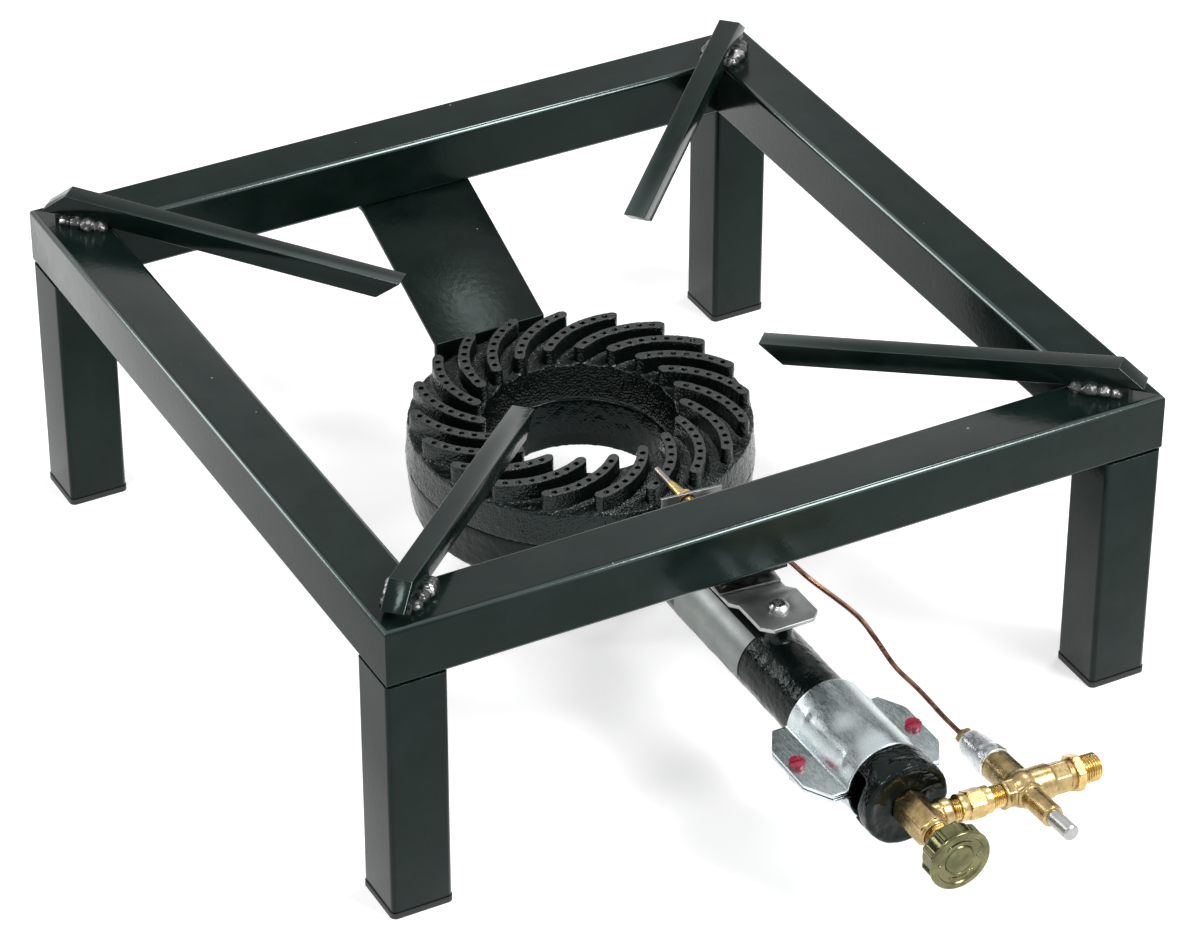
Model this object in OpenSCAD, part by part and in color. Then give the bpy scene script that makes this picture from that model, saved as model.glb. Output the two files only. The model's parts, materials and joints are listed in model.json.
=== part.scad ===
// Stock pot range: a low square stool of welded tube that carries a cast ring burner, its mixer
// pipe with air shutter, and a gas tap with a flame failure valve.
// Millimetres, +Z up, the tap faces -Y. The origin is under the middle of the whole outline.

/* [Frame] */
// Outer width and depth of the frame
frame_w = 400; // [300:5:600]
// Width of the square tube
tube_w = 30; // [20:1:40]
// Wall of the square tube
tube_wall = 1.5; // [1:0.1:2.5]
// Outer corner radius of the square tube
tube_corner = 2.5; // [1.8:0.1:4]
// Height of the rail tops above the floor
frame_h = 158; // [120:1:320]

/* [Foot caps] */
// Thickness of the cap under the tube
cap_h = 3; // [2:0.5:8]
// How far the cap stands out past the tube
cap_lip = 0.4; // [0:0.1:2]
// Height of the plug inside the tube
cap_plug_h = 12; // [6:1:25]
// Wall of the hollow plug
cap_wall = 2.5; // [1.5:0.5:4]

/* [Pot bars] */
// Width and height of the solid square bar
bar_w = 11; // [8:0.5:16]
// Length of the top face of one bar
bar_len = 173; // [120:1:190]
// Slope of the bars down toward the burner in degrees
bar_tilt = 6.3; // [2:0.1:9]
// Slant of the cut ends in degrees
bar_cut = 46; // [30:1:55]
// Distance of the outer top edge from the frame corner along the diagonal
bar_setback = 21.8; // [15:0.1:40]
// Open height under the bar where it crosses the inner edge of the frame
bar_root = 0.8; // [0.3:0.1:4]
// Radius of a weld drop
weld_r = 4.2; // [3:0.1:6]

/* [Burner crown] */
// Outer radius at the joint between crown and body
crown_r = 85; // [78:0.5:95]
// How far the lip of the crown is set in from the joint
crown_draft = 1.4; // [0:0.1:4]
// Width of the ring at the top of the crown
crown_ring_w = 36.4; // [34:0.1:42]
// Width of the ring at the joint
joint_ring_w = 41; // [39:0.5:46]
// Depth of the channel floor between the ribs below the rails
crown_drop = 37.2; // [34:0.1:41]
// Height of the ribs over the channel floor
rib_h = 9.3; // [6:0.1:13]
// Height of the crown from the joint to the channel floor
crown_h = 17.8; // [12:0.1:22]
// Wall of the castings
cast_wall = 3.5; // [3:0.5:4]
// Number of ribs
rib_count = 20; // [12:1:24]
// Width of a rib
rib_w = 6; // [5:0.1:7]
// Radius of the curve of a rib
rib_curve_r = 45.6; // [42:0.1:50]
// Ports in each rib
port_count = 7; // [3:1:7]
// Diameter of a gas port
port_d = 2.8; // [1.5:0.1:3.2]
// Distance of the outer ports inside the outer radius
port_setin = 6.8; // [4:0.1:9]

/* [Burner body] */
// Height of the body below the joint
body_h = 26; // [24:0.5:33]
// How far the outer wall is set in at the bottom
body_draft = 2.5; // [0:0.5:8]
// How far the middle hole narrows toward the bottom
hole_draft = 3; // [1:0.5:8]
// Depth of the rim that centres the crown
spigot_h = 3; // [1:0.5:6]

/* [Mixer pipe] */
// Outer radius of the pipe
pipe_r = 17.5; // [15:0.1:19]
// Radius of the bore
pipe_bore_r = 13.5; // [10:0.1:14]
// Distance of the pipe axis below the joint
pipe_drop = 5.8; // [3:0.1:7]
// Distance of the front face of the pipe head in front of the frame
head_reach = 108.5; // [90:0.5:160]
// Outer radius of the drum at the front end
head_r = 20.9; // [20:0.1:24]
// Length of the solid front of the drum
head_len = 9; // [6:0.1:12]
// Length of the whole drum
drum_len = 18.1; // [15:0.1:22]
// Length of the air windows
window_len = 18; // [14:0.5:26]
// Height of the air windows
window_h = 24; // [12:0.5:26]
// Radius of the threaded hole for the tap
tap_hole_r = 6.6; // [6:0.1:8]
// Distance of the plate boss from the inner face of the front rail
boss_setout = 23; // [20:0.5:28]
// Radius of the plate boss
boss_r = 6.5; // [5:0.1:8]

/* [Rating label] */
// Length of the label along the pipe
label_len = 60; // [40:1:60]
// Distance between the label and the axis of the plate boss
label_gap = 6; // [6:0.5:13]
// Thickness of the foil
label_t = 0.2; // [0.1:0.05:0.4]
// Start of the label round the pipe in degrees from +X
label_from = 119; // [115:1:130]
// Angle that the label covers
label_span = 75; // [40:1:90]

/* [Air shutter] */
// Length of the sleeve
sleeve_len = 54; // [40:1:60]
// Sheet thickness of the sleeve
sleeve_t = 1.6; // [1:0.1:2]
// Gap between sleeve and pipe
sleeve_gap = 0.9; // [0.4:0.1:1]
// Distance between the sleeve and the drum
shutter_open = 0.4; // [0.3:0.1:8]
// Half width over the ears
ear_reach = 35; // [32:0.5:40]
// Gap between the upper and lower ears
ear_gap = 0.6; // [0.2:0.1:2]
// Distance of each screw from the pipe axis
ear_screw_x = 30; // [28:0.5:31]
// Radius of the M4 thread
m4_r = 2; // [1.5:0.1:2.5]

/* [Gas tap] */
// Width across the flats of the tap body
tap_af = 15; // [14.6:0.1:18]
// Length of the tap body in front of the pipe head
tap_len = 24.5; // [22:0.5:30]
// Distance of the side outlet from the pipe head
outlet_y = 11.5; // [10:0.1:13]
// Radius of the spindle
spindle_r = 2.5; // [2:0.1:3]
// Radius of the handwheel
wheel_r = 15; // [12:0.5:20]
// Depth of the handwheel
wheel_h = 11; // [8:0.5:14]
// Grip flutes round the handwheel
wheel_flutes = 9; // [6:1:14]
// Distance from the tap body to the back of the handwheel
wheel_gap = 9; // [8:0.5:12]

/* [Coupling] */
// Turn of the tap about the pipe axis in degrees, outlet down
tap_roll = 2; // [-4:0.5:4]
// Turn of the valve about the coupling axis in degrees, magnet down
valve_pitch = 4.2; // [-5:0.1:6]
// Length of the coupling nut
coupling_len = 16.2; // [14:0.1:20]
// Width across the flats of the coupling nut
coupling_af = 13; // [12:0.5:16]
// Radius of the pipe thread on both sides of the coupling
coupling_thread_r = 5.3; // [4.8:0.1:5.8]
// Distance from the pipe axis to the coupling nut
coupling_x = 17.9; // [16:0.1:20]

/* [Safety valve] */
// Distance from the pipe axis to the valve axis
valve_x = 51.8; // [50:0.1:60]
// Radius of the valve barrel
barrel_r = 7.6; // [7:0.1:9]
// Length of the barrel behind the inlet axis
barrel_len = 21.5; // [18:0.1:24]
// Length of the zinc cap
cap_len = 22.3; // [18:0.1:26]
// Radius of the zinc cap at the barrel
cap_big_r = 8.65; // [8.2:0.05:10]
// Radius of the zinc cap at its end
cap_small_r = 6.45; // [5.9:0.05:7]
// Length of the button guide in front of the inlet axis
guide_len = 25.8; // [22:0.1:30]
// Radius of the button guide
guide_r = 5.3; // [5:0.1:6]
// Radius of the push button
button_r = 3.8; // [3.4:0.1:4.2]
// Length of the button that stands out of the guide
button_out = 14.8; // [12:0.1:18]
// Travel of the button
button_travel = 5; // [3:0.5:5]
// Radius of the quarter inch pipe thread of the inlet
inlet_r = 6.58; // [6.58:0.01:6.58]
// Length of the inlet thread
inlet_len = 9.9; // [8:0.1:14]
// Width across the flats of the inlet adapter
inlet_af = 16; // [14:0.5:19]

/* [Thermocouple] */
// Radius of the copper lead
lead_r = 1.3; // [1:0.1:1.4]
// Radius of the brass body
couple_r = 3.5; // [3.4:0.1:4]
// Length of the brass body
couple_len = 18; // [12:0.5:20]
// Radius of the steel tip
couple_tip_r = 1.5; // [1.2:0.1:2]
// Length of the steel tip
couple_tip_len = 15; // [10:0.5:18]
// Droop of the thermocouple toward the flame in degrees
couple_tilt = 0; // [0:0.1:8]

/* [Brackets] */
// Width of the mounting plate
plate_w = 30; // [24:1:40]
// Thickness of the mounting plate
plate_t = 2; // [1.5:0.1:3]
// Depth of the plate's top face over the boss below the rails
plate_drop = 28; // [25:0.5:30]
// Step down of the plate toward the burner
plate_step = 5; // [3:0.5:5]
// Length of the plate in front of the step
plate_front = 24; // [20:1:30]
// Length of the sloped step
plate_slope = 10; // [6:1:12]
// Length of the plate behind the step
plate_rear = 27; // [22:1:32]
// Width of the front support tab
tab_w = 35; // [28:1:44]
// Thickness of the front support tab
tab_t = 3; // [2:0.5:4]
// Depth of the underside of the tab foot below the rails
tab_drop = 25; // [21:0.5:27]
// Length of the tab foot from the rail
tab_foot = 22; // [20:1:30]
// Distance of the support bolt from the rail
tab_bolt_y = 11; // [10.5:0.5:14]
// Radius of the round spacer
spacer_r = 7.5; // [6:0.5:9]
// Width of the thermocouple bracket
bracket_w = 31; // [24:1:34]
// Thickness of the thermocouple bracket
bracket_t = 1.5; // [1:0.1:2]
// Turn of the thermocouple bracket about the support bolt in degrees
bracket_turn = 5; // [-8:1:8]
// Distance between the upturned end of the bracket and the crown
bracket_gap = 15.5; // [12:0.5:24]
// Depth of the top edge of the bracket below the rails
bracket_drop = 21; // [19:0.5:22.5]

/* [Support strap] */
// Width of the rear strap
strap_w = 60; // [40:1:80]
// Thickness of the rear strap
strap_t = 3; // [2:0.5:4]
// Sideways place of the strap centre
strap_x = -4; // [-10:1:10]
// Depth below the rails at which the sloped part ends
knee_drop = 35; // [29:1:49]
// Gap between the strap and the burner wall
strap_gap = 3; // [2:0.5:8]
// Length of the seat under the burner
strap_seat = 40; // [34:1:42]
// Length of the strap flat under the rear rail
strap_land = 20; // [10:1:24]

/* [Hidden] */
$fn = 72;

// Running gap between a shaft and its hole
run_gap = 0.06;
// Gap between fixed pieces that fit one in another
fit_gap = 0.15;
// Overrun of every cut past the face that it goes through
over = 1;
// Faces of a small hull or of a faceted tube
tube_sides = 8;

// Places that follow the sizes
half_w = frame_w / 2;
rail_bottom = frame_h - tube_w;
rail_mid = half_w - tube_w / 2;
rail_in = half_w - tube_w;
crown_top_z = rail_bottom - crown_drop;
rib_top_z = crown_top_z + rib_h;
joint_z = crown_top_z - crown_h;
body_bottom_z = joint_z - body_h;
pipe_z = joint_z - pipe_drop;
plate_z = rail_bottom - plate_drop;
tab_z = rail_bottom - tab_drop;
bracket_top_z = rail_bottom - bracket_drop;
strap_knee_z = rail_bottom - knee_drop;
crown_lip_r = crown_r - crown_draft;
hole_top_r = crown_lip_r - crown_ring_w;
hole_mid_r = crown_r - joint_ring_w;
hole_bottom_r = hole_mid_r - hole_draft;
body_bottom_r = crown_r - body_draft;
port_ring_r = crown_r - port_setin;
boss_y = rail_in + boss_setout;
label_y = boss_y - label_gap - label_len;
pipe_reach = half_w + head_reach;
button_chamfer = 0.6;
button_tip_y = -pipe_reach - outlet_y - (guide_len + button_out) * cos(valve_pitch)
  - (button_r - button_chamfer) * sin(valve_pitch);
depth_shift = -(half_w + button_tip_y) / 2;
head_y = -pipe_reach;
shoulder_y = head_y + head_len;
valve_y = head_y - outlet_y;

// Colours
dark_green = [0.10, 0.13, 0.12];
cap_black = [0.06, 0.06, 0.06];
cast_black = [0.08, 0.08, 0.08];
zinc = [0.72, 0.74, 0.76];
steel = [0.60, 0.61, 0.62];
brass = [0.80, 0.66, 0.35];
olive_brass = [0.62, 0.57, 0.30];
copper = [0.72, 0.42, 0.28];
rubber_black = [0.12, 0.12, 0.12];
foil = [0.80, 0.80, 0.79];

// The frame and burner sit behind the middle of the outline, which reaches out to the button
module stand() {
  translate([0, depth_shift, 0]) children();
}

// The tap and all that it carries, turned about the pipe axis
module tap_line() {
  translate([0, valve_y, pipe_z]) rotate([0, tap_roll, 0]) translate([0, -valve_y, -pipe_z])
    children();
}

// The valve, also turned about the axis of the coupling
module valve_line() {
  tap_line() translate([0, valve_y, pipe_z]) rotate([-valve_pitch, 0, 0])
    translate([0, -valve_y, -pipe_z]) children();
}

// Round bar along Y from y0 to y1
module bar_y(y0, y1, r, x = 0, z = pipe_z) {
  translate([x, min(y0, y1), z]) rotate([-90, 0, 0]) cylinder(h = abs(y1 - y0), r = r);
}

// Round bar along X from x0 to x1
module bar_x(x0, x1, r, y = valve_y, z = pipe_z) {
  translate([min(x0, x1), y, z]) rotate([0, 90, 0]) cylinder(h = abs(x1 - x0), r = r);
}

// Hexagon bar along Y, flats up and down
module hex_y(y0, y1, af, x = 0, z = pipe_z) {
  translate([x, min(y0, y1), z]) rotate([-90, 0, 0])
    cylinder(h = abs(y1 - y0), r = af / sqrt(3), $fn = 6);
}

// Hexagon bar along X
module hex_x(x0, x1, af, y = valve_y, z = pipe_z) {
  translate([min(x0, x1), y, z]) rotate([0, 90, 0])
    cylinder(h = abs(x1 - x0), r = af / sqrt(3), $fn = 6);
}

// Square with round corners
module round_square(w, r) {
  square([w - 2 * r, w], center = true);
  square([w, w - 2 * r], center = true);
  for (sx = [-1, 1], sy = [-1, 1])
    translate([sx * (w / 2 - r), sy * (w / 2 - r)]) circle(r = r);
}

// Cross-section of the frame tube
module tube_profile() {
  difference() {
    round_square(tube_w, tube_corner);
    round_square(tube_w - 2 * tube_wall, tube_corner - tube_wall);
  }
}

// One rail on the -Y side with its ends mitred
module rail() {
  intersection() {
    translate([-half_w, -rail_mid, frame_h - tube_w / 2]) rotate([90, 0, 90])
      linear_extrude(frame_w) tube_profile();
    translate([0, 0, rail_bottom - over]) linear_extrude(tube_w + 2 * over)
      polygon([
        [0, 0],
        [-half_w - over, -half_w - over],
        [half_w + over, -half_w - over]
      ]);
  }
}

module rail_front() { color(dark_green) stand() rail(); }
module rail_right() { color(dark_green) stand() rotate([0, 0, 90]) rail(); }
module rail_rear() { color(dark_green) stand() rotate([0, 0, 180]) rail(); }
module rail_left() { color(dark_green) stand() rotate([0, 0, 270]) rail(); }

// Leg under the corner at the given signs of x and y
module leg(sx, sy) {
  color(dark_green) stand() translate([sx * rail_mid, sy * rail_mid, cap_h])
    linear_extrude(rail_bottom - cap_h) tube_profile();
}

module leg_front_left() { leg(-1, -1); }
module leg_front_right() { leg(1, -1); }
module leg_rear_left() { leg(-1, 1); }
module leg_rear_right() { leg(1, 1); }

// Plastic cap: a flange under the tube and a hollow plug inside it
module foot_cap(sx, sy) {
  flange_w = tube_w + 2 * cap_lip;
  plug_w = tube_w - 2 * tube_wall - 2 * fit_gap;
  plug_corner = tube_corner - tube_wall;
  color(cap_black) stand() translate([sx * rail_mid, sy * rail_mid, 0]) {
    linear_extrude(cap_h) round_square(flange_w, tube_corner + cap_lip);
    translate([0, 0, cap_h]) linear_extrude(cap_plug_h) difference() {
      round_square(plug_w, plug_corner);
      square(plug_w - 2 * cap_wall, center = true);
    }
  }
}

module foot_cap_front_left() { foot_cap(-1, -1); }
module foot_cap_front_right() { foot_cap(1, -1); }
module foot_cap_rear_left() { foot_cap(-1, 1); }
module foot_cap_rear_right() { foot_cap(1, 1); }

// Pot bars, drawn along +X from the burner axis and turned to the corners
frame_diag = half_w * sqrt(2);
rail_in_diag = rail_in * sqrt(2);
bar_end_r = frame_diag - bar_setback;
bar_slant = bar_w * tan(bar_cut);
// Height of the top face over the inner edge of the frame
bar_cross_z = frame_h + bar_root + bar_w / cos(bar_tilt);
bar_end_z = bar_cross_z + (bar_end_r - rail_in_diag) * tan(bar_tilt);

module bar_solid() {
  translate([bar_end_r, 0, bar_end_z]) rotate([0, -bar_tilt, 0]) rotate([90, 0, 0])
    translate([0, 0, -bar_w / 2]) linear_extrude(bar_w)
      polygon([[0, 0], [-bar_len, 0], [-bar_len + bar_slant, -bar_w], [bar_slant, -bar_w]]);
}

module pot_bar(sx, sy) { color(dark_green) stand() rotate([0, 0, atan2(sy, sx)]) bar_solid(); }
module pot_bar_front_left() { pot_bar(-1, -1); }
module pot_bar_front_right() { pot_bar(1, -1); }
module pot_bar_rear_left() { pot_bar(-1, 1); }
module pot_bar_rear_right() { pot_bar(1, 1); }

// Weld drops along both sides of a bar, and the fill under it
weld_drops = 4;
weld_span = 24;
weld_start_r = rail_in_diag + weld_r / 2;
// How far each drop sits out from the bar and above the rail, as shares of its radius
weld_out_shares = [0.55, 0.75, 0.6, 0.35];
weld_up_shares = [0.15, 0.3, 0.25, 0.1];
weld_size_shares = [0.95, 1.1, 1, 0.85];

module bar_weld() {
  fill_end = weld_start_r + weld_span;
  fill_w = bar_w + weld_r / 4;
  fill_rise = (fill_end - rail_in_diag) * tan(bar_tilt);
  difference() {
    union() {
      for (side = [-1, 1], i = [0:weld_drops - 1])
        translate([
          weld_start_r + i * weld_span / weld_drops,
          side * (bar_w / 2 + weld_out_shares[i] * weld_r / 2),
          frame_h + weld_up_shares[i] * weld_r
        ]) sphere(r = weld_r * weld_size_shares[i], $fn = 40);
      rotate([90, 0, 0]) translate([0, 0, -fill_w / 2]) linear_extrude(fill_w)
        polygon([
          [weld_start_r, frame_h],
          [fill_end, frame_h],
          [fill_end, frame_h + bar_root + fill_rise + over],
          [weld_start_r, frame_h + bar_root + over]
        ]);
    }
    bar_solid();
    translate([0, -half_w, frame_h - tube_w]) cube([frame_w, frame_w, tube_w]);
  }
}

module pot_bar_welds() {
  color(dark_green) stand() for (sx = [-1, 1], sy = [-1, 1]) rotate([0, 0, atan2(sy, sx)]) bar_weld();
}

// Rear strap: flat under the rear rail, down a slope, upright behind the burner, under its bottom
strap_back_y = crown_r + strap_gap;
strap_run = rail_in - strap_back_y;
strap_slope = atan((rail_bottom - strap_knee_z) / strap_run);
// Mitre of the bends, measured along the straight runs
strap_top_mitre = strap_t * tan(strap_slope / 2);
strap_knee_mitre = strap_t * tan((90 - strap_slope) / 2);
strap_front_y = strap_back_y - strap_seat;
strap_bolt_y = (hole_bottom_r + body_bottom_r) / 2;
m6_r = 3;
m6_af = 10;
m6_head_h = 4;
m6_nut_h = 5;
strap_bolt_grip = 9;

module rear_support_strap() {
  color(dark_green) stand() difference() {
    translate([strap_x - strap_w / 2, 0, 0]) rotate([90, 0, 90]) linear_extrude(strap_w)
      polygon([
        [rail_in + strap_land, rail_bottom],
        [rail_in, rail_bottom],
        [strap_back_y, strap_knee_z],
        [strap_back_y, body_bottom_z],
        [strap_front_y, body_bottom_z],
        [strap_front_y, body_bottom_z - strap_t],
        [strap_back_y + strap_t, body_bottom_z - strap_t],
        [strap_back_y + strap_t, strap_knee_z - strap_knee_mitre],
        [rail_in + strap_top_mitre, rail_bottom - strap_t],
        [rail_in + strap_land, rail_bottom - strap_t]
      ]);
    translate([0, strap_bolt_y, body_bottom_z - strap_t - over])
      cylinder(h = strap_t + 2 * over, r = m6_r + fit_gap);
  }
}

// Hexagon bolt with its head below, the underside of the head's seat at z
module hex_bolt(y, z, shank) {
  translate([0, y, z - m6_head_h]) cylinder(h = m6_head_h, r = m6_af / sqrt(3), $fn = 6);
  translate([0, y, z - over / 2]) cylinder(h = shank + over / 2, r = m6_r);
}

module rear_strap_bolt() {
  color(steel) stand() hex_bolt(strap_bolt_y, body_bottom_z - strap_t, strap_t + strap_bolt_grip);
}

// Front support: a tab on the inner face of the front rail with a foot turned toward the burner
tab_leg_top = rail_bottom + tube_w / 2;
tab_round = 6;
bolt_y = -rail_in + tab_bolt_y;
plate_low_z = plate_z - plate_step;
bracket_z = plate_low_z + bracket_t;
bracket_len = -bolt_y - crown_r - bracket_gap;

module front_support_tab() {
  foot_side = tab_w - 2 * tab_round;
  color(dark_green) stand() difference() {
    union() {
      translate([-tab_w / 2, -rail_in, tab_z]) cube([tab_w, tab_t, tab_leg_top - tab_z]);
      translate([-tab_w / 2, -rail_in, tab_z]) cube([tab_w, tab_foot - tab_round, tab_t]);
      translate([-foot_side / 2, -rail_in, tab_z]) cube([foot_side, tab_foot, tab_t]);
      for (sx = [-1, 1])
        translate([sx * foot_side / 2, -rail_in + tab_foot - tab_round, tab_z])
          cylinder(h = tab_t, r = tab_round);
    }
    translate([0, bolt_y, tab_z - over]) cylinder(h = tab_t + 2 * over, r = m6_r + fit_gap);
  }
}

module front_support_spacer() {
  color(cap_black) stand() translate([0, bolt_y, bracket_z]) difference() {
    cylinder(h = tab_z - bracket_z, r = spacer_r);
    translate([0, 0, -over]) cylinder(h = tab_z - bracket_z + 2 * over, r = m6_r + fit_gap);
  }
}

module front_support_bolt() {
  bolt_end = tab_z + tab_t + m6_nut_h + over;
  color(steel) stand()
    hex_bolt(bolt_y, plate_low_z - plate_t, bolt_end - plate_low_z + plate_t);
}

module front_support_nut() {
  color(steel) stand() translate([0, bolt_y, tab_z + tab_t]) difference() {
    cylinder(h = m6_nut_h, r = m6_af / sqrt(3), $fn = 6);
    translate([0, 0, -over]) cylinder(h = m6_nut_h + 2 * over, r = m6_r + run_gap);
  }
}

// Mounting plate with a step, screwed to the boss on the pipe and bolted under the tab
plate_step_out = 3;
plate_step_y = -rail_in - plate_step_out;
plate_front_y = plate_step_y - plate_slope - plate_front;
plate_rear_y = plate_step_y + plate_rear;
plate_chamfer = 5;
m5_r = 2.5;
m5_head_r = 4.7;
m5_head_h = 3;

module plate_side() {
  polygon([
    [plate_front_y, plate_z],
    [plate_front_y, plate_z - plate_t],
    [plate_step_y - plate_slope, plate_z - plate_t],
    [plate_step_y, plate_low_z - plate_t],
    [plate_rear_y, plate_low_z - plate_t],
    [plate_rear_y, plate_low_z],
    [plate_step_y, plate_low_z],
    [plate_step_y - plate_slope, plate_z]
  ]);
}

module mounting_plate() {
  half = plate_w / 2;
  color(steel) stand() difference() {
    intersection() {
      translate([-half, 0, 0]) rotate([90, 0, 90]) linear_extrude(plate_w) plate_side();
      translate([0, 0, plate_low_z - plate_t - over]) linear_extrude(plate_step + plate_t + 2 * over)
        polygon([
          [-half, plate_front_y + plate_chamfer],
          [-half + plate_chamfer, plate_front_y],
          [half - plate_chamfer, plate_front_y],
          [half, plate_front_y + plate_chamfer],
          [half, plate_rear_y],
          [-half, plate_rear_y]
        ]);
    }
    translate([0, -boss_y, plate_z - plate_t - over])
      cylinder(h = plate_t + 2 * over, r = m5_r + fit_gap);
    translate([0, bolt_y, plate_low_z - plate_t - over])
      cylinder(h = plate_t + 2 * over, r = m6_r + fit_gap);
  }
}

// Pan head screw with a cross recess
screw_grip = 10;
recess_w = 1.1;
recess_len = 5.4;
recess_h = 1.6;

module plate_screw() {
  color(zinc) stand() translate([0, -boss_y, plate_z]) difference() {
    union() {
      cylinder(h = m5_head_h / 2, r = m5_head_r);
      translate([0, 0, m5_head_h / 2])
        cylinder(h = m5_head_h / 2, r1 = m5_head_r, r2 = m5_head_r - m5_head_h / 2);
      translate([0, 0, -plate_t - screw_grip]) cylinder(h = plate_t + screw_grip + over, r = m5_r);
    }
    for (turn = [45, 135]) rotate([0, 0, turn])
      translate([-recess_len / 2, -recess_w / 2, m5_head_h - recess_h])
        cube([recess_len, recess_w, recess_h + over]);
  }
}

// Burner crown. Each rib follows a circle whose centre lies at rib_hub_r from the burner axis.
rib_hub_setin = 34;
rib_hub_r = port_ring_r - rib_hub_setin;
rib_hub_lag = 30;
rib_from = 29.06;
rib_pitch = 8.03;
rib_tail_out = 4.2;
rib_tail_in = 4;
rib_lead = -0.8;
rib_outer_end = rib_from - rib_tail_out;
rib_inner_end = rib_from + (port_count - 1) * rib_pitch + rib_tail_in;
roof_z = crown_top_z - cast_wall;
rib_sink = 1.5;

module rib_place(k) {
  rotate([0, 0, k * 360 / rib_count + rib_lead - rib_hub_lag])
    translate([rib_hub_r, 0, 0]) rotate([0, 0, rib_hub_lag]) children();
}

// Plan of one rib: a band of a ring with round ends
module rib_plan() {
  reach = 2 * rib_curve_r;
  intersection() {
    difference() {
      circle(r = rib_curve_r + rib_w / 2);
      circle(r = rib_curve_r - rib_w / 2);
    }
    polygon([
      [0, 0],
      [reach * cos(rib_outer_end), reach * sin(rib_outer_end)],
      [reach * cos(rib_inner_end), reach * sin(rib_inner_end)]
    ]);
  }
  for (a = [rib_outer_end, rib_inner_end])
    rotate([0, 0, a]) translate([rib_curve_r, 0]) circle(r = rib_w / 2 - fit_gap, $fn = 32);
}

module crown_shell() {
  rotate_extrude($fn = 120) difference() {
    polygon([
      [hole_mid_r, joint_z],
      [crown_r, joint_z],
      [crown_lip_r, crown_top_z],
      [hole_top_r, crown_top_z]
    ]);
    polygon([
      [hole_mid_r + cast_wall, joint_z - over],
      [crown_r - cast_wall, joint_z - over],
      [crown_r - cast_wall, joint_z],
      [crown_lip_r - cast_wall, roof_z],
      [hole_top_r + cast_wall, roof_z],
      [hole_mid_r + cast_wall, joint_z]
    ]);
  }
}

// Rim under the crown that drops inside the outer wall of the body
module crown_spigot() {
  wall_in_r = crown_r - cast_wall;
  spigot_r = wall_in_r - fit_gap;
  spigot_t = cast_wall / 2;
  rotate_extrude($fn = 120) polygon([
    [spigot_r - spigot_t, joint_z - spigot_h],
    [spigot_r, joint_z - spigot_h],
    [spigot_r, joint_z],
    [wall_in_r + spigot_t, joint_z],
    [wall_in_r + spigot_t, joint_z + spigot_t],
    [spigot_r - spigot_t, joint_z + spigot_t]
  ]);
}

module burner_crown() {
  color(cast_black) stand() difference() {
    union() {
      crown_shell();
      crown_spigot();
      for (k = [0:rib_count - 1]) rib_place(k)
        translate([0, 0, crown_top_z - rib_sink])
          linear_extrude(rib_top_z - crown_top_z + rib_sink) rib_plan();
    }
    for (k = [0:rib_count - 1], i = [0:port_count - 1]) rib_place(k)
      rotate([0, 0, rib_from + i * rib_pitch]) translate([rib_curve_r, 0, roof_z - over])
        cylinder(h = rib_top_z - roof_z + 2 * over, r = port_d / 2, $fn = 24);
  }
}

// Burner body: a ring trough with the mixer pipe, its boss, its air windows and its head
neck_end_y = crown_r + cast_wall;
neck_len = 24;
pipe_start_y = hole_bottom_r + (crown_r - hole_bottom_r) / 2;
foot_boss_r = 7.5;
foot_boss_h = strap_bolt_grip + 2;

// Side view of what is cut away so that the pipe slopes down under the crown
module neck_cut(drop) {
  top = pipe_z + pipe_r + over;
  rotate([90, 0, 90]) translate([0, 0, -pipe_r - over]) linear_extrude(2 * pipe_r + 2 * over)
    polygon([
      [-neck_end_y - neck_len, top - over - drop],
      [-neck_end_y, joint_z - drop],
      [0, joint_z - drop],
      [0, top],
      [-neck_end_y - neck_len, top]
    ]);
}

module body_ring() {
  rotate_extrude($fn = 120) polygon([
    [hole_bottom_r, body_bottom_z],
    [body_bottom_r, body_bottom_z],
    [crown_r, joint_z - cast_wall],
    [crown_r, joint_z],
    [hole_mid_r, joint_z],
    [hole_bottom_r, body_bottom_z + 2 * cast_wall]
  ]);
}

module body_trough() {
  rotate_extrude($fn = 120) polygon([
    [hole_mid_r + cast_wall, body_bottom_z + cast_wall],
    [body_bottom_r - cast_wall, body_bottom_z + cast_wall],
    [crown_r - cast_wall, joint_z - cast_wall],
    [crown_r - cast_wall, joint_z + over],
    [hole_mid_r + cast_wall, joint_z + over]
  ]);
}

module burner_body() {
  boss_z = plate_z - plate_t;
  color(cast_black) stand() difference() {
    union() {
      difference() {
        union() {
          body_ring();
          difference() {
            union() {
              bar_y(-pipe_start_y, head_y, pipe_r);
              bar_y(head_y + drum_len, head_y, head_r);
              translate([0, -boss_y, pipe_z]) cylinder(h = boss_z - pipe_z, r = boss_r);
            }
            neck_cut(0);
          }
        }
        body_trough();
      }
      translate([0, strap_bolt_y, body_bottom_z]) cylinder(h = foot_boss_h, r = foot_boss_r);
    }
    difference() {
      bar_y(-pipe_start_y, shoulder_y, pipe_bore_r);
      neck_cut(cast_wall);
    }
    bar_y(shoulder_y + over, head_y - over, tap_hole_r);
    translate([-head_r - over, shoulder_y, pipe_z - window_h / 2])
      cube([2 * head_r + 2 * over, window_len, window_h]);
    translate([0, -boss_y, boss_z - screw_grip - over])
      cylinder(h = screw_grip + 2 * over, r = m5_r + fit_gap);
    translate([0, strap_bolt_y, body_bottom_z - over])
      cylinder(h = strap_bolt_grip + 2 * over, r = m6_r + fit_gap);
  }
}

// Blank foil label wrapped on the pipe
module rating_label() {
  inner = pipe_r + fit_gap / 3;
  color(foil) stand() translate([0, -label_y, pipe_z]) rotate([90, 0, 0])
    rotate([0, 0, label_from]) rotate_extrude(angle = label_span)
      translate([inner, 0]) square([label_t, label_len]);
}

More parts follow.
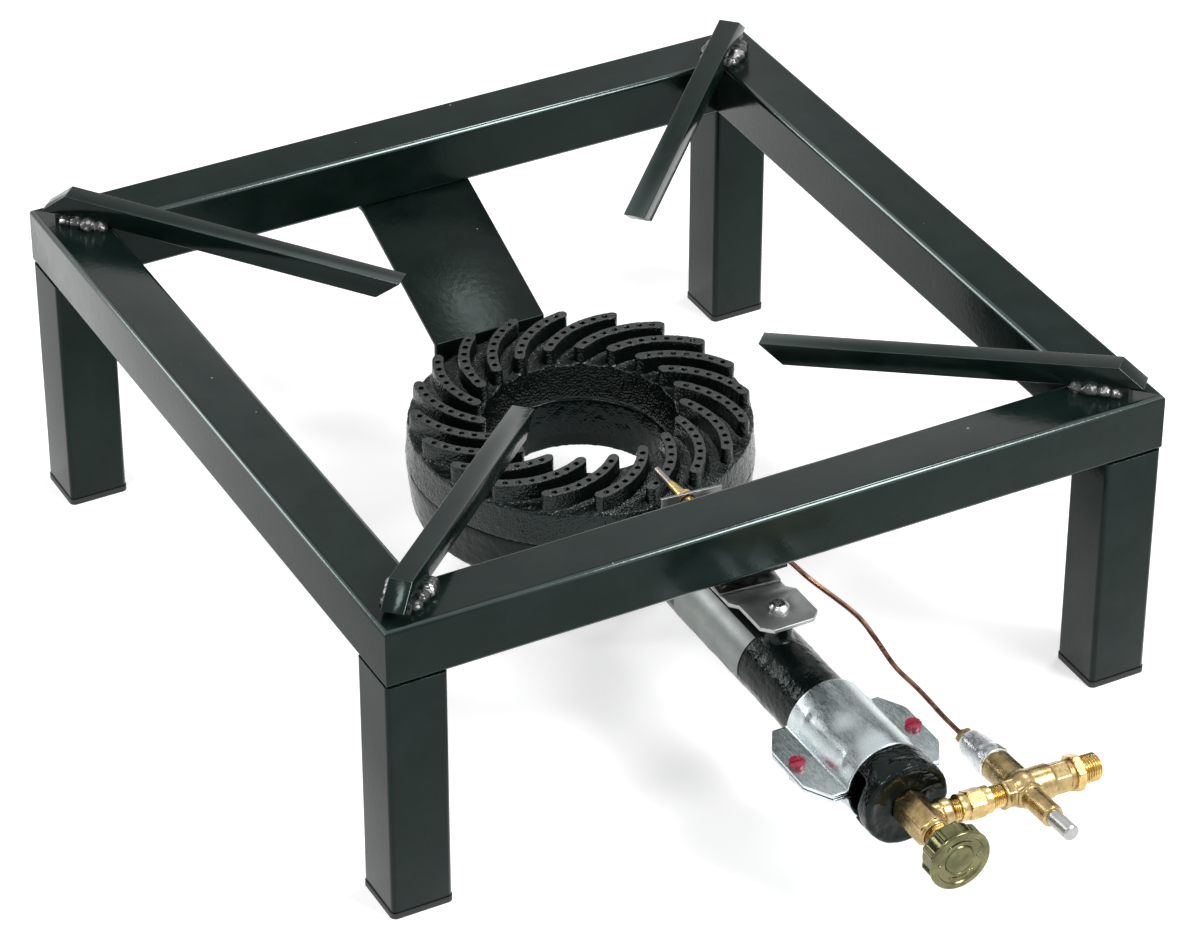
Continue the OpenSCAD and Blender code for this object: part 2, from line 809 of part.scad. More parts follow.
// Air shutter: two half sleeves that clamp on the pipe with screws through their ears
sleeve_in_r = pipe_r + sleeve_gap;
sleeve_out_r = sleeve_in_r + sleeve_t;
sleeve_y = head_y + drum_len + shutter_open;
sleeve_mid_y = sleeve_y + sleeve_len / 2;
ear_start_x = sleeve_in_r + sleeve_t / 2;
ear_cut_x = 7.5;
ear_cut_y = 12.5;
m4_head_r = 3.8;
m4_head_h = 2.4;
m4_nut_h = 3.2;
m4_nut_af = 7;
m4_tail = 2;
slot_w = 1;
slot_h = 1.2;

// Plan of the right ear
module ear_plan() {
  near = sleeve_y;
  far = sleeve_y + sleeve_len;
  difference() {
    polygon([
      [ear_start_x, near],
      [ear_reach - ear_cut_x, near],
      [ear_reach, near + ear_cut_y],
      [ear_reach, far - ear_cut_y],
      [ear_reach - ear_cut_x, far],
      [ear_start_x, far]
    ]);
    translate([ear_screw_x, sleeve_mid_y]) circle(r = m4_r + fit_gap);
  }
}

module half_sleeve() {
  lift = ear_gap / 2;
  translate([0, 0, pipe_z]) {
    translate([0, sleeve_y + sleeve_len, 0]) rotate([90, 0, 0]) linear_extrude(sleeve_len)
      intersection() {
        difference() {
          circle(r = sleeve_out_r);
          circle(r = sleeve_in_r);
        }
        translate([-sleeve_out_r, lift]) square([2 * sleeve_out_r, sleeve_out_r]);
      }
    for (side = [0, 1]) mirror([side, 0, 0])
      translate([0, 0, lift]) linear_extrude(sleeve_t) ear_plan();
  }
}

module air_shutter_upper() { color(zinc) stand() half_sleeve(); }

module air_shutter_lower() {
  color(zinc) stand() translate([0, 0, 2 * pipe_z]) mirror([0, 0, 1]) half_sleeve();
}

module shutter_screws() {
  seat = pipe_z + ear_gap / 2 + sleeve_t;
  grip = ear_gap + 2 * sleeve_t + m4_nut_h + m4_tail;
  color(zinc) stand() for (sx = [-1, 1]) translate([sx * ear_screw_x, sleeve_mid_y, seat])
    difference() {
      union() {
        cylinder(h = m4_head_h, r = m4_head_r);
        translate([0, 0, -grip]) cylinder(h = grip + over, r = m4_r);
      }
      translate([-m4_head_r - over, -slot_w / 2, m4_head_h - slot_h])
        cube([2 * m4_head_r + 2 * over, slot_w, slot_h + over]);
    }
}

module shutter_nuts() {
  seat = pipe_z - ear_gap / 2 - sleeve_t;
  color(zinc) stand() for (sx = [-1, 1]) translate([sx * ear_screw_x, sleeve_mid_y, seat - m4_nut_h])
    difference() {
      cylinder(h = m4_nut_h, r = m4_nut_af / sqrt(3), $fn = 6);
      translate([0, 0, -over]) cylinder(h = m4_nut_h + 2 * over, r = m4_r + run_gap);
    }
}

// Gas tap on the pipe head. The gas comes in from the side and leaves through the jet.
nose_len = 11;
tap_bore_r = 3.6;
seat_r = 1;
seat_len = 4;
gland_len = 4.5;
gland_depth = 5;
gland_af = 11;
gland_in_r = 4.4;
packing_h = 2.5;
side_bore_r = 2.2;
stub_flange_r = 7;
stub_flange_x = 8.2;
stub_flange_t = 5.7;
stub_share = 0.45;
stub_end_x = coupling_x + coupling_len * stub_share;
tap_front_y = head_y - tap_len;
nose_y = head_y + nose_len;
seat_y = head_y - seat_len;
jet_len = 7;
jet_tip_share = 0.6;
jet_r = 4;
jet_hole_r = 0.7;
jet_thread_r = 2.8;
jet_thread_len = 5;
tap_collar_len = 2.5;
tap_collar_r = 7.2;
tap_side_r = 6.3;

module tap_body() {
  color(brass) stand() tap_line() difference() {
    union() {
      bar_y(nose_y, head_y - over, tap_hole_r - run_gap);
      hex_y(head_y, tap_front_y + tap_collar_len, tap_af);
      bar_y(head_y - over, tap_front_y, tap_collar_r);
      bar_x(0, stub_flange_x + over, tap_side_r);
      bar_x(stub_flange_x, stub_flange_x + stub_flange_t, stub_flange_r);
      bar_x(stub_flange_x, stub_end_x, coupling_thread_r);
    }
    bar_y(nose_y + over, nose_y - jet_thread_len - over, jet_thread_r + run_gap);
    bar_y(nose_y, seat_y - over, seat_r);
    bar_y(seat_y, tap_front_y - over, tap_bore_r);
    bar_y(tap_front_y + gland_depth, tap_front_y - over, gland_in_r + fit_gap);
    bar_x(0, stub_end_x + over, side_bore_r);
  }
}

module gas_jet() {
  color(brass) stand() difference() {
    union() {
      hex_y(nose_y, nose_y + jet_len - 2 * over, jet_r * sqrt(3));
      bar_y(nose_y + jet_len, nose_y, jet_r * jet_tip_share);
      bar_y(nose_y + over, nose_y - jet_thread_len, jet_thread_r);
    }
    bar_y(nose_y - jet_thread_len - over, nose_y + jet_len - 2 * over, seat_r);
    bar_y(nose_y, nose_y + jet_len + over, jet_hole_r);
  }
}

// Spindle: needle, shank through the gland, and the square end in the handwheel
needle_len = 6;
needle_tip_r = 0.5;
spindle_thread_r = tap_bore_r - run_gap;
wheel_back_y = tap_front_y - wheel_gap;
web_t = 3;
face_sink = 1;
hub_r = 4.6;
hub_len = 6;
grub_z = wheel_h - face_sink - web_t - hub_len / 2;
wheel_screw_r = 1.5;
grub_socket_r = 0.9;
grub_socket_h = 1.2;
spindle_thread_len = 3.3;
spindle_thread_y = valve_y - side_bore_r - over;

module tap_spindle() {
  end_y = wheel_back_y - wheel_h + face_sink + web_t + fit_gap;
  color(steel) stand() union() {
    translate([0, seat_y + fit_gap, pipe_z]) rotate([90, 0, 0])
      cylinder(h = needle_len, r1 = needle_tip_r, r2 = spindle_r);
    bar_y(seat_y - needle_len + over, end_y, spindle_r);
    bar_y(spindle_thread_y, spindle_thread_y - spindle_thread_len, spindle_thread_r);
  }
}

module tap_packing() {
  y1 = tap_front_y + gland_depth - fit_gap;
  color(rubber_black) stand() difference() {
    bar_y(y1, y1 - packing_h, gland_in_r);
    bar_y(y1 + over, y1 - packing_h - over, spindle_r + run_gap);
  }
}

module tap_gland_nut() {
  y1 = tap_front_y + gland_depth - 2 * fit_gap - packing_h;
  color(brass) stand() difference() {
    union() {
      bar_y(y1, tap_front_y - over, gland_in_r);
      hex_y(tap_front_y, tap_front_y - gland_len, gland_af);
    }
    bar_y(y1 + over, tap_front_y - gland_len - over, spindle_r + run_gap);
  }
}

// Handwheel: a cup with a fluted skirt, a rolled rim, a sunk face and a hub behind it
wheel_rim_r = wheel_r - 1.2;
wheel_roll_r = 1.2;
wheel_wall = 2.2;
flute_r = 1.7;
disc_share = 0.45;
mark_share = 0.63;
flute_sink_share = 0.4;
arrow_share = 1.4;
disc_r = wheel_r * disc_share;
groove_w = 0.8;
groove_h = 0.6;
mark_r = wheel_r * mark_share;
mark_w = 0.9;
mark_h = 0.45;
mark_span = 62;
arrow_len = 2.6;

// Turning marks on the face: two arcs with arrow heads, a plus and a minus
module wheel_marks() {
  head_a = mark_span / 2;
  for (turn = [90, 270]) rotate([0, 0, turn]) {
    intersection() {
      difference() {
        circle(r = mark_r + mark_w / 2);
        circle(r = mark_r - mark_w / 2);
      }
      polygon([
        [0, 0],
        [wheel_r, -wheel_r * tan(head_a)],
        [wheel_r, wheel_r * tan(head_a)]
      ]);
    }
    rotate([0, 0, head_a]) translate([mark_r, 0])
      polygon([[-mark_w * arrow_share, 0], [mark_w * arrow_share, 0], [0, arrow_len]]);
  }
  translate([mark_r, 0]) square([arrow_len, mark_w], center = true);
  translate([-mark_r, 0]) square([arrow_len, mark_w], center = true);
  translate([mark_r, 0]) square([mark_w, arrow_len], center = true);
}

module handwheel() {
  color(olive_brass) stand() translate([0, wheel_back_y, pipe_z]) rotate([90, 0, 0])
    difference() {
      union() {
        difference() {
          rotate_extrude() union() {
            polygon([
              [0, wheel_h - face_sink - web_t],
              [wheel_rim_r - wheel_wall, wheel_h - face_sink - web_t],
              [wheel_rim_r - wheel_wall, 0],
              [wheel_rim_r, 0],
              [wheel_rim_r, wheel_h - wheel_roll_r],
              [wheel_rim_r - wheel_roll_r, wheel_h],
              [wheel_rim_r - wheel_wall, wheel_h],
              [wheel_rim_r - wheel_wall - face_sink, wheel_h - face_sink],
              [0, wheel_h - face_sink]
            ]);
            translate([wheel_r - wheel_roll_r, wheel_h - wheel_roll_r]) circle(r = wheel_roll_r);
          }
          rotate_extrude() translate([disc_r, wheel_h - face_sink - groove_h])
            square([groove_w, groove_h + over]);
        }
        for (i = [0:wheel_flutes - 1]) rotate([0, 0, i * 360 / wheel_flutes])
          translate([wheel_rim_r - flute_r * flute_sink_share, 0, 0])
            cylinder(h = wheel_h - wheel_roll_r, r = flute_r, $fn = 32);
        translate([0, 0, wheel_h - face_sink - web_t - hub_len])
          cylinder(h = hub_len + over, r = hub_r);
        translate([0, 0, wheel_h - face_sink - over]) linear_extrude(over + mark_h) wheel_marks();
      }
      translate([0, 0, -over])
        cylinder(h = wheel_h - face_sink - web_t + over, r = spindle_r + run_gap);
      translate([0, 0, grub_z]) rotate([0, 90, 0])
        cylinder(h = hub_r + over, r = wheel_screw_r + run_gap);
    }
}

// Grub screw through the side of the hub, with a hexagon socket
module handwheel_screw() {
  color(steel) stand() translate([0, wheel_back_y - grub_z, pipe_z]) rotate([0, 90, 0])
    difference() {
      translate([0, 0, spindle_r + run_gap])
        cylinder(h = hub_r - spindle_r - run_gap, r = wheel_screw_r);
      translate([0, 0, hub_r - grub_socket_h])
        cylinder(h = grub_socket_h + over, r = grub_socket_r, $fn = 6);
    }
}

// Coupling between tap and valve
coupling_end_x = coupling_x + coupling_len;
coupling_hex_share = 0.5;
olive_t = 2;
olive_gap = 0.1;
valve_stub_x = stub_end_x + olive_t + 2 * olive_gap;

module coupling_nut() {
  hex_from = coupling_x + coupling_len * (1 - coupling_hex_share) / 2;
  hex_to = hex_from + coupling_len * coupling_hex_share;
  color(brass) stand() tap_line() difference() {
    union() {
      bar_x(coupling_x, coupling_end_x, coupling_af / 2);
      hex_x(hex_from, hex_to, coupling_af);
    }
    bar_x(coupling_x - over, coupling_end_x + over, coupling_thread_r + run_gap);
  }
}

module coupling_olive() {
  color(brass) stand() tap_line() difference() {
    bar_x(stub_end_x + olive_gap, stub_end_x + olive_gap + olive_t, coupling_thread_r - fit_gap);
    bar_x(stub_end_x - over, stub_end_x + olive_t + 2 * over, side_bore_r);
  }
}

// Flame failure valve: a cross with the magnet behind, the button in front, the inlet at the right
valve_neck_len = 6.3;
valve_flange_x = coupling_end_x + valve_neck_len;
valve_flange_t = 1.8;
valve_flange_r = 6.9;
valve_hex_af = 12.4;
valve_hex_share = 0.3;
core_r = 8.7;
inlet_boss_r = 8.2;
inlet_boss_len = 13.7;
inlet_boss_x = valve_x + inlet_boss_len;
inlet_flat_len = 8.6;
inlet_flat_x = inlet_boss_x + inlet_flat_len;
inlet_flat_af = 14;
adapter_thread_r = 5.5;
seal_t = 2.6;
adapter_hex_x = inlet_flat_x + seal_t;
adapter_hex_t = 4.2;
adapter_bore_r = 3.5;
adapter_grip = 6;
chamber_r = 5.4;
valve_back_y = valve_y + barrel_len;
chamber_len = 5;
valve_seat_y = valve_back_y - chamber_len;
seat_hole_r = 2.2;
guide_end_y = valve_y - guide_len;
guide_bore_r = button_r + run_gap;
guide_stop_in = 7;
guide_stop_y = valve_y - guide_stop_in;
rod_r = 1.2;
// The inlet bore stops short of the seat hole; a slanted passage leads from it to the chamber
inlet_bore_in = 5;
inlet_bore_x = valve_x + inlet_bore_in;
passage_r = 0.9;
passage_from = 7;
passage_to = 4;
passage_rise = valve_seat_y + over - valve_y;

module valve_body() {
  color(brass) stand() valve_line() difference() {
    union() {
      bar_y(valve_back_y, valve_y, barrel_r, valve_x);
      translate([valve_x, valve_y, pipe_z]) sphere(r = core_r);
      hex_y(valve_y, valve_y - guide_len * valve_hex_share, valve_hex_af, valve_x);
      bar_y(valve_y, guide_end_y, guide_r, valve_x);
      bar_x(valve_stub_x, valve_x, coupling_thread_r);
      bar_x(valve_flange_x, valve_flange_x + valve_flange_t, valve_flange_r);
      hex_x(valve_flange_x + valve_flange_t / 2, valve_x, valve_hex_af);
      bar_x(valve_x, inlet_boss_x, inlet_boss_r);
      hex_x(inlet_boss_x - over, inlet_flat_x, inlet_flat_af);
    }
    bar_y(valve_back_y + over, valve_seat_y, chamber_r, valve_x);
    bar_y(valve_seat_y + over, guide_stop_y + over, seat_hole_r, valve_x);
    bar_y(guide_stop_y + 2 * over, guide_end_y, rod_r + run_gap, valve_x);
    bar_y(guide_stop_y, guide_end_y - over, guide_bore_r, valve_x);
    bar_x(valve_stub_x - over, valve_x, side_bore_r);
    bar_x(inlet_bore_x, inlet_flat_x + over, side_bore_r);
    translate([valve_x + passage_from, valve_y, pipe_z])
      rotate([-90, 0, atan((passage_from - passage_to) / passage_rise)])
        cylinder(h = norm([passage_from - passage_to, passage_rise]), r = passage_r);
    bar_x(inlet_flat_x - adapter_grip, inlet_flat_x + over, adapter_thread_r + run_gap);
  }
}

module inlet_adapter() {
  end_x = adapter_hex_x + adapter_hex_t + inlet_len;
  color(brass) stand() valve_line() difference() {
    union() {
      bar_x(inlet_flat_x - adapter_grip + fit_gap, adapter_hex_x + over, adapter_thread_r);
      hex_x(adapter_hex_x, adapter_hex_x + adapter_hex_t, inlet_af);
      bar_x(adapter_hex_x + adapter_hex_t - over, end_x, inlet_r);
    }
    bar_x(inlet_flat_x - adapter_grip - over, end_x + over, adapter_bore_r);
  }
}

module inlet_seal() {
  color(copper) stand() valve_line() difference() {
    bar_x(inlet_flat_x, adapter_hex_x, inlet_flat_af / 2);
    bar_x(inlet_flat_x - over, adapter_hex_x + over, adapter_thread_r + fit_gap);
  }
}

// Zinc cap over the magnet unit, a little wider at the barrel
magnet_r = 4.9;
magnet_len = 14;
magnet_stem_r = 2.5;
cap_end_t = 3;
cap_band_share = 0.25;
cap_band = cap_len * cap_band_share;
cap_back_y = valve_back_y + cap_len;
magnet_y = cap_back_y - cap_end_t - magnet_len;

module magnet_cap() {
  color(zinc) stand() valve_line() difference() {
    translate([valve_x, valve_back_y, pipe_z]) rotate([-90, 0, 0]) union() {
      cylinder(h = cap_band, r = cap_big_r);
      translate([0, 0, cap_band]) cylinder(h = cap_len - cap_band, r1 = cap_big_r, r2 = cap_small_r);
    }
    bar_y(valve_back_y - over, cap_back_y - cap_end_t, chamber_r, valve_x);
    bar_y(cap_back_y - cap_end_t - over, cap_back_y + over, magnet_stem_r + fit_gap, valve_x);
  }
}

module magnet_unit() {
  color(steel) stand() valve_line() {
    bar_y(magnet_y, magnet_y + magnet_len, magnet_r, valve_x);
    bar_y(magnet_y + magnet_len - over, cap_back_y, magnet_stem_r, valve_x);
  }
}

// Valve disc with its stem, pressed on the seat by a spring and lifted by the button's rod
disc_t = 1.6;
valve_disc_r = 3.2;
armature_r = 1.4;
disc_free = 0.3;
disc_y = valve_seat_y + disc_free;
disc_top_y = disc_y + disc_t;
disc_spring_turns = 4;
disc_spring_r = 2.6;
wire_r = 0.3;
spring_end = 0.35;

module valve_disc() {
  gap_to_magnet = magnet_y - disc_top_y;
  color(rubber_black) stand() valve_line() {
    bar_y(disc_y, disc_top_y, valve_disc_r, valve_x);
    bar_y(disc_top_y - over / 2, disc_top_y + gap_to_magnet - button_travel - disc_free,
      armature_r, valve_x);
  }
}

// Coil spring along Y as one tube, from y0 to y1
function coil_point(t, r, y0, y1, turns) =
  [valve_x + r * cos(360 * turns * t), y0 + (y1 - y0) * t, pipe_z + r * sin(360 * turns * t)];
spring_rings = 8;
spring_sides = 6;

// Least gap between the wire of neighbouring curls, measured between the points of the coil
function curl_gap(y0, y1, r, turns, wire) = let (
    steps = turns * spring_rings,
    path = [for (k = [0:steps]) coil_point(k / steps, r, y0, y1, turns)]
  ) min([for (i = [0:steps], j = [i + spring_rings / 2:1:steps]) norm(path[j] - path[i])]) - 2 * wire;

module coil_spring(y0, y1, r, turns, wire) {
  steps = turns * spring_rings;
  rings = [for (k = [0:steps]) let (
      t = k / steps,
      a = 360 * turns * t,
      radial = [cos(a), 0, sin(a)],
      rise = (y1 - y0) / (360 * turns) * 180 / PI / r,
      run = [-sin(a), rise, cos(a)] / norm([-sin(a), rise, cos(a)]),
      across = cross(run, radial)
    ) [for (j = [0:spring_sides - 1]) let (b = 360 * j / spring_sides)
      coil_point(t, r, y0, y1, turns) + wire * (cos(b) * radial + sin(b) * across)]];
  points = [for (ring = rings) each ring];
  last = steps * spring_sides;
  faces = concat(
    [[for (j = [0:spring_sides - 1]) j]],
    [for (k = [0:steps - 1], j = [0:spring_sides - 1]) let (
        a = k * spring_sides + j,
        b = k * spring_sides + (j + 1) % spring_sides
      ) each [[a, a + spring_sides, b], [b, a + spring_sides, b + spring_sides]]],
    [[for (j = [spring_sides - 1:-1:0]) last + j]]
  );
  polyhedron(points = points, faces = faces, convexity = 10);
}

disc_spring_from = disc_top_y + spring_end;
disc_spring_to = magnet_y - spring_end;
echo("disc_spring least gap between curls",
  curl_gap(disc_spring_from, disc_spring_to, disc_spring_r, disc_spring_turns, wire_r));

module disc_spring() {
  color(steel) stand() valve_line()
    coil_spring(disc_spring_from, disc_spring_to, disc_spring_r, disc_spring_turns, wire_r);
}

// Push button: a round head in the guide and a rod that reaches the valve disc
button_grip = 11;
button_in = guide_end_y + button_grip;
button_front_y = guide_end_y - button_out;
clip_t = 0.6;
clip_r = 2.2;
button_spring_r = 2.6;
button_spring_turns = 4;

module push_button() {
  color(zinc) stand() valve_line() {
    translate([valve_x, button_front_y, pipe_z]) rotate([-90, 0, 0]) {
      cylinder(h = button_chamfer, r1 = button_r - button_chamfer, r2 = button_r);
      translate([0, 0, button_chamfer])
        cylinder(h = button_in - button_front_y - button_chamfer, r = button_r);
    }
    bar_y(button_in - over, disc_y - run_gap, rod_r, valve_x);
  }
}

button_spring_from = button_in + spring_end;
button_spring_to = guide_stop_y - spring_end;
echo("button_spring least gap between curls",
  curl_gap(button_spring_from, button_spring_to, button_spring_r, button_spring_turns, wire_r));

module button_spring() {
  color(steel) stand() valve_line()
    coil_spring(button_spring_from, button_spring_to, button_spring_r, button_spring_turns, wire_r);
}

module button_clip() {
  y0 = guide_stop_y + 2 * over + disc_free;
  color(steel) stand() valve_line() difference() {
    bar_y(y0, y0 + clip_t, clip_r, valve_x);
    bar_y(y0 - over, y0 + clip_t + over, rod_r, valve_x);
  }
}

// Thermocouple: nut at the valve, copper lead, brass body in the bracket and steel tip
couple_nut_af = 8;
couple_nut_len = 4.8;
couple_nut_y = cap_back_y + couple_nut_len;
couple_drop = 25.7;
couple_z = rail_bottom - couple_drop;
couple_x = 3;
couple_back = 3;
couple_rear_y = bolt_y + bracket_len - couple_back;
ferrule_r = 2.6;
ferrule_len = 6;
collar_y = couple_back + 3 * fit_gap;
collar_lip = 1.1;
collar_r = couple_r + collar_lip;
collar_t = 2;
cone_y = collar_y + collar_t;
cone_lip = 0.5;
cone_r = couple_tip_r + cone_lip;

module thermocouple_nut() {
  color(brass) stand() valve_line() {
    hex_y(cap_back_y, couple_nut_y, couple_nut_af, valve_x);
    bar_y(couple_nut_y - over, couple_nut_y + over, 2 * lead_r, valve_x);
  }
}

// Places the thermocouple: +Y runs from the rear of the brass body to the tip
module couple_place() {
  translate([couple_x, couple_rear_y, couple_z]) rotate([-couple_tilt, 0, 0]) children();
}

module thermocouple_body() {
  color(brass) stand() couple_place() {
    bar_y(0, cone_y, couple_r, 0, 0);
    translate([0, cone_y, 0]) rotate([-90, 0, 0])
      cylinder(h = couple_len - cone_y, r1 = couple_r, r2 = cone_r);
    bar_y(collar_y, collar_y + collar_t, collar_r, 0, 0);
    bar_y(-ferrule_len, over, ferrule_r, 0, 0);
  }
}

module thermocouple_tip() {
  color(steel) stand() couple_place() {
    bar_y(couple_len, couple_len + couple_tip_len - couple_tip_r, couple_tip_r, 0, 0);
    translate([0, couple_len + couple_tip_len - couple_tip_r, 0]) sphere(r = couple_tip_r);
  }
}

// Bracket: a flat strip under the spacer, bent up at its end, with a hole for the brass body
bracket_rear = 9;
couple_hole_r = couple_r + 3 * fit_gap;

module thermocouple_bracket() {
  color(steel) stand() difference() {
    translate([0, bolt_y, plate_low_z]) rotate([0, 0, -bracket_turn]) union() {
      translate([-bracket_w / 2, -bracket_rear, 0])
        cube([bracket_w, bracket_rear + bracket_len, bracket_t]);
      translate([-bracket_w / 2, bracket_len - bracket_t, 0])
        cube([bracket_w, bracket_t, bracket_top_z - plate_low_z]);
    }
    translate([0, bolt_y, plate_low_z - over])
      cylinder(h = bracket_t + 2 * over, r = m6_r + fit_gap);
    couple_place() bar_y(-ferrule_len, couple_len, couple_hole_r, 0, 0);
  }
}

// Copper lead: a route chosen by hand from the nut at the valve to the ferrule of the thermocouple.
// Each point is three shares: of the way across to the valve axis, of the way back along the
// route, and of the way up from the pipe axis to the thermocouple.
lead_shares = [
  [0.9959, 0.00021, -0.15385], [1.0020, 0.05299, -0.17379], [1.0123, 0.12254, -0.19943],
  [1.0143, 0.25171, -0.17664], [1.0123, 0.37591, -0.18233], [1.0041, 0.48768, -0.03989],
  [0.9795, 0.58704, 0.05129], [0.8053, 0.74229, 0.21652], [0.6865, 0.80439, 0.40000],
  [0.4918, 0.85717, 0.68000], [0.2459, 0.90375, 0.94400], [0.0615, 0.95964, 1.00860],
  [0.0000, 1.00000, 1.00000]
];
lead_from_y = valve_y + (couple_nut_y + over - valve_y) * cos(valve_pitch);
lead_to_y = couple_rear_y - ferrule_len;
lead_route = [for (p = lead_shares) [
  couple_x + p[0] * (valve_x - couple_x),
  lead_from_y + p[1] * (lead_to_y - lead_from_y),
  pipe_z + p[2] * (couple_z - pipe_z)
]];
lead_steps = 3;

// Point of a smooth curve through four neighbours
function spline(a, b, c, d, t) =
  0.5 * (2 * b + (c - a) * t + (2 * a - 5 * b + 4 * c - d) * t * t
    + (3 * b - a - 3 * c + d) * t * t * t);
function route_at(p, i) = p[max(0, min(len(p) - 1, i))];
function smooth_route(p) = concat(
  [for (i = [0:len(p) - 2], s = [0:lead_steps - 1])
    spline(route_at(p, i - 1), p[i], p[i + 1], route_at(p, i + 2), s / lead_steps)],
  [p[len(p) - 1]]
);

module lead_tube(path, r) {
  n = len(path);
  rings = [for (i = [0:n - 1]) let (
      run = i == 0 ? [0, cos(valve_pitch), -sin(valve_pitch)]
        : i == n - 1 ? [0, cos(couple_tilt), -sin(couple_tilt)]
        : (path[i + 1] - path[i - 1]) / norm(path[i + 1] - path[i - 1]),
      side = cross(run, [0, 0, 1]) / norm(cross(run, [0, 0, 1])),
      up = cross(side, run)
    ) [for (j = [0:tube_sides - 1]) let (b = 360 * j / tube_sides)
      path[i] + r * (cos(b) * side + sin(b) * up)]];
  points = [for (ring = rings) each ring];
  last = (n - 1) * tube_sides;
  faces = concat(
    [[for (j = [tube_sides - 1:-1:0]) j]],
    [for (k = [0:n - 2], j = [0:tube_sides - 1]) let (
        a = k * tube_sides + j,
        b = k * tube_sides + (j + 1) % tube_sides
      ) each [[a, b, a + tube_sides], [b, b + tube_sides, a + tube_sides]]],
    [[for (j = [0:tube_sides - 1]) last + j]]
  );
  polyhedron(points = points, faces = faces, convexity = 10);
}

module thermocouple_lead() {
  color(copper) stand() lead_tube(smooth_route(lead_route), lead_r);
}

rail_front();
rail_rear();
rail_left();
rail_right();
leg_front_left();
leg_front_right();
leg_rear_left();
leg_rear_right();
foot_cap_front_left();
foot_cap_front_right();
foot_cap_rear_left();
foot_cap_rear_right();
pot_bar_front_left();
pot_bar_front_right();
pot_bar_rear_left();
pot_bar_rear_right();
pot_bar_welds();
rear_support_strap();
rear_strap_bolt();
front_support_tab();
front_support_spacer();
front_support_bolt();
front_support_nut();
mounting_plate();
plate_screw();
burner_crown();
burner_body();
rating_label();
air_shutter_upper();
air_shutter_lower();
shutter_screws();
shutter_nuts();
gas_jet();
tap_body();
tap_spindle();
tap_gland_nut();
tap_packing();
handwheel();
handwheel_screw();
coupling_nut();
coupling_olive();
valve_body();
inlet_adapter();
inlet_seal();
magnet_cap();
magnet_unit();
valve_disc();
disc_spring();
push_button();
button_spring();
button_clip();
thermocouple_nut();
thermocouple_lead();
thermocouple_body();
thermocouple_tip();
thermocouple_bracket();
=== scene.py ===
"""Looks of the stock pot range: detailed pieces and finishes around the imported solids.

Shapes are worked out in millimetres about the burner axis, on the floor, and are written to
meshes in metres in the frame of the solids.
"""

import json
import math

import bmesh
import bpy
import numpy as np
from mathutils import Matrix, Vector


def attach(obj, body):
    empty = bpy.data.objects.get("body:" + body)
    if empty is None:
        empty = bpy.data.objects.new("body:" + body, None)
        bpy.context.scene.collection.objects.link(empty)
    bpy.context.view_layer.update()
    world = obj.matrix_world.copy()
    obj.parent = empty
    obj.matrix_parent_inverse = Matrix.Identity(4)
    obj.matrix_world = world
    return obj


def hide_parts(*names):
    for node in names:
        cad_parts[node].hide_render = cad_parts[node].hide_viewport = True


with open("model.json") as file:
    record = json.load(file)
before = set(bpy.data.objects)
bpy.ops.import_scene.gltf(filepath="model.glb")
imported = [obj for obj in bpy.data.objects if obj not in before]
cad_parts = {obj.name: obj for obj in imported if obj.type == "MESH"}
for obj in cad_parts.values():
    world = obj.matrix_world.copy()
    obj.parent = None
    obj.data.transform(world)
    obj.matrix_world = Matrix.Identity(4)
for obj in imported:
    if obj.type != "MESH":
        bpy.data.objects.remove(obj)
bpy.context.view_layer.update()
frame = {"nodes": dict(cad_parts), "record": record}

SHIFT = 80.3626  # the burner axis stands this far behind the origin, in mm
TAU = 2 * math.pi
MERGE = 1e-7  # points closer than this are one point, in metres

# Sizes of the solids that the detailed pieces follow, in mm
RAIL_IN, FRAME_H = 170.0, 158.0
PIPE_Z, PIPE_R, PIPE_BORE = 67.2, 17.5, 13.5
HEAD_R, HEAD_Y = 20.9, -308.5
TAP_Y, TAP_FRONT = -320.0, -333.0
TAP_ROLL, VALVE_PITCH = math.radians(2), math.radians(4.2)
VALVE_X = 51.8
BAR_W, BAR_TILT = 11.0, math.radians(6.3)


# Noise, grids and places


def lattice(cells, seed):
    """Pseudo-random number from 0 to 1 for each integer cell: a hash of its three indices."""
    c = cells.astype(np.int64)
    h = (c[..., 0] * 73856093) ^ (c[..., 1] * 19349663) ^ (c[..., 2] * 83492791) ^ (seed * 2654435)
    h = (h ^ (h >> 13)) * 1274126177
    return ((h ^ (h >> 16)) & 0xFFFF) / 65535.0


def noise(points, size, seed, octaves=1):
    """Smooth noise from -1 to 1: lattice numbers blended by t*t*(3-2t), each octave half as big."""
    total, weight, level = 0.0, 0.0, 1.0
    for octave in range(octaves):
        q = np.asarray(points, float) / (size / 2**octave)
        base = np.floor(q)
        t = q - base
        t = t * t * (3 - 2 * t)
        value = 0.0
        for corner in range(8):
            step = np.array([corner & 1, corner >> 1 & 1, corner >> 2 & 1])
            share = np.prod(np.where(step, t, 1 - t), axis=-1)
            value = value + share * lattice(base + step, seed + 31 * octave)
        total, weight, level = total + level * (2 * value - 1), weight + level, level / 2
    return total / weight


def quads(rows, columns, wrap=False):
    """Faces of a grid whose points are stored row by row; wrap joins each row's ends."""
    i = np.arange(rows - 1)[:, None]
    j = np.arange(columns if wrap else columns - 1)[None, :]
    j2 = (j + 1) % columns
    corners = [i * columns + j, i * columns + j2, (i + 1) * columns + j2, (i + 1) * columns + j]
    return np.stack([c.reshape(-1) for c in np.broadcast_arrays(*corners)], axis=1)


def sheet(points, wrap=False):
    """A grid of points as (vertices, faces)."""
    return points.reshape(-1, 3), quads(*points.shape[:2], wrap)


def around(count):
    """Angles evenly spaced round a circle."""
    return np.arange(count) / count * TAU


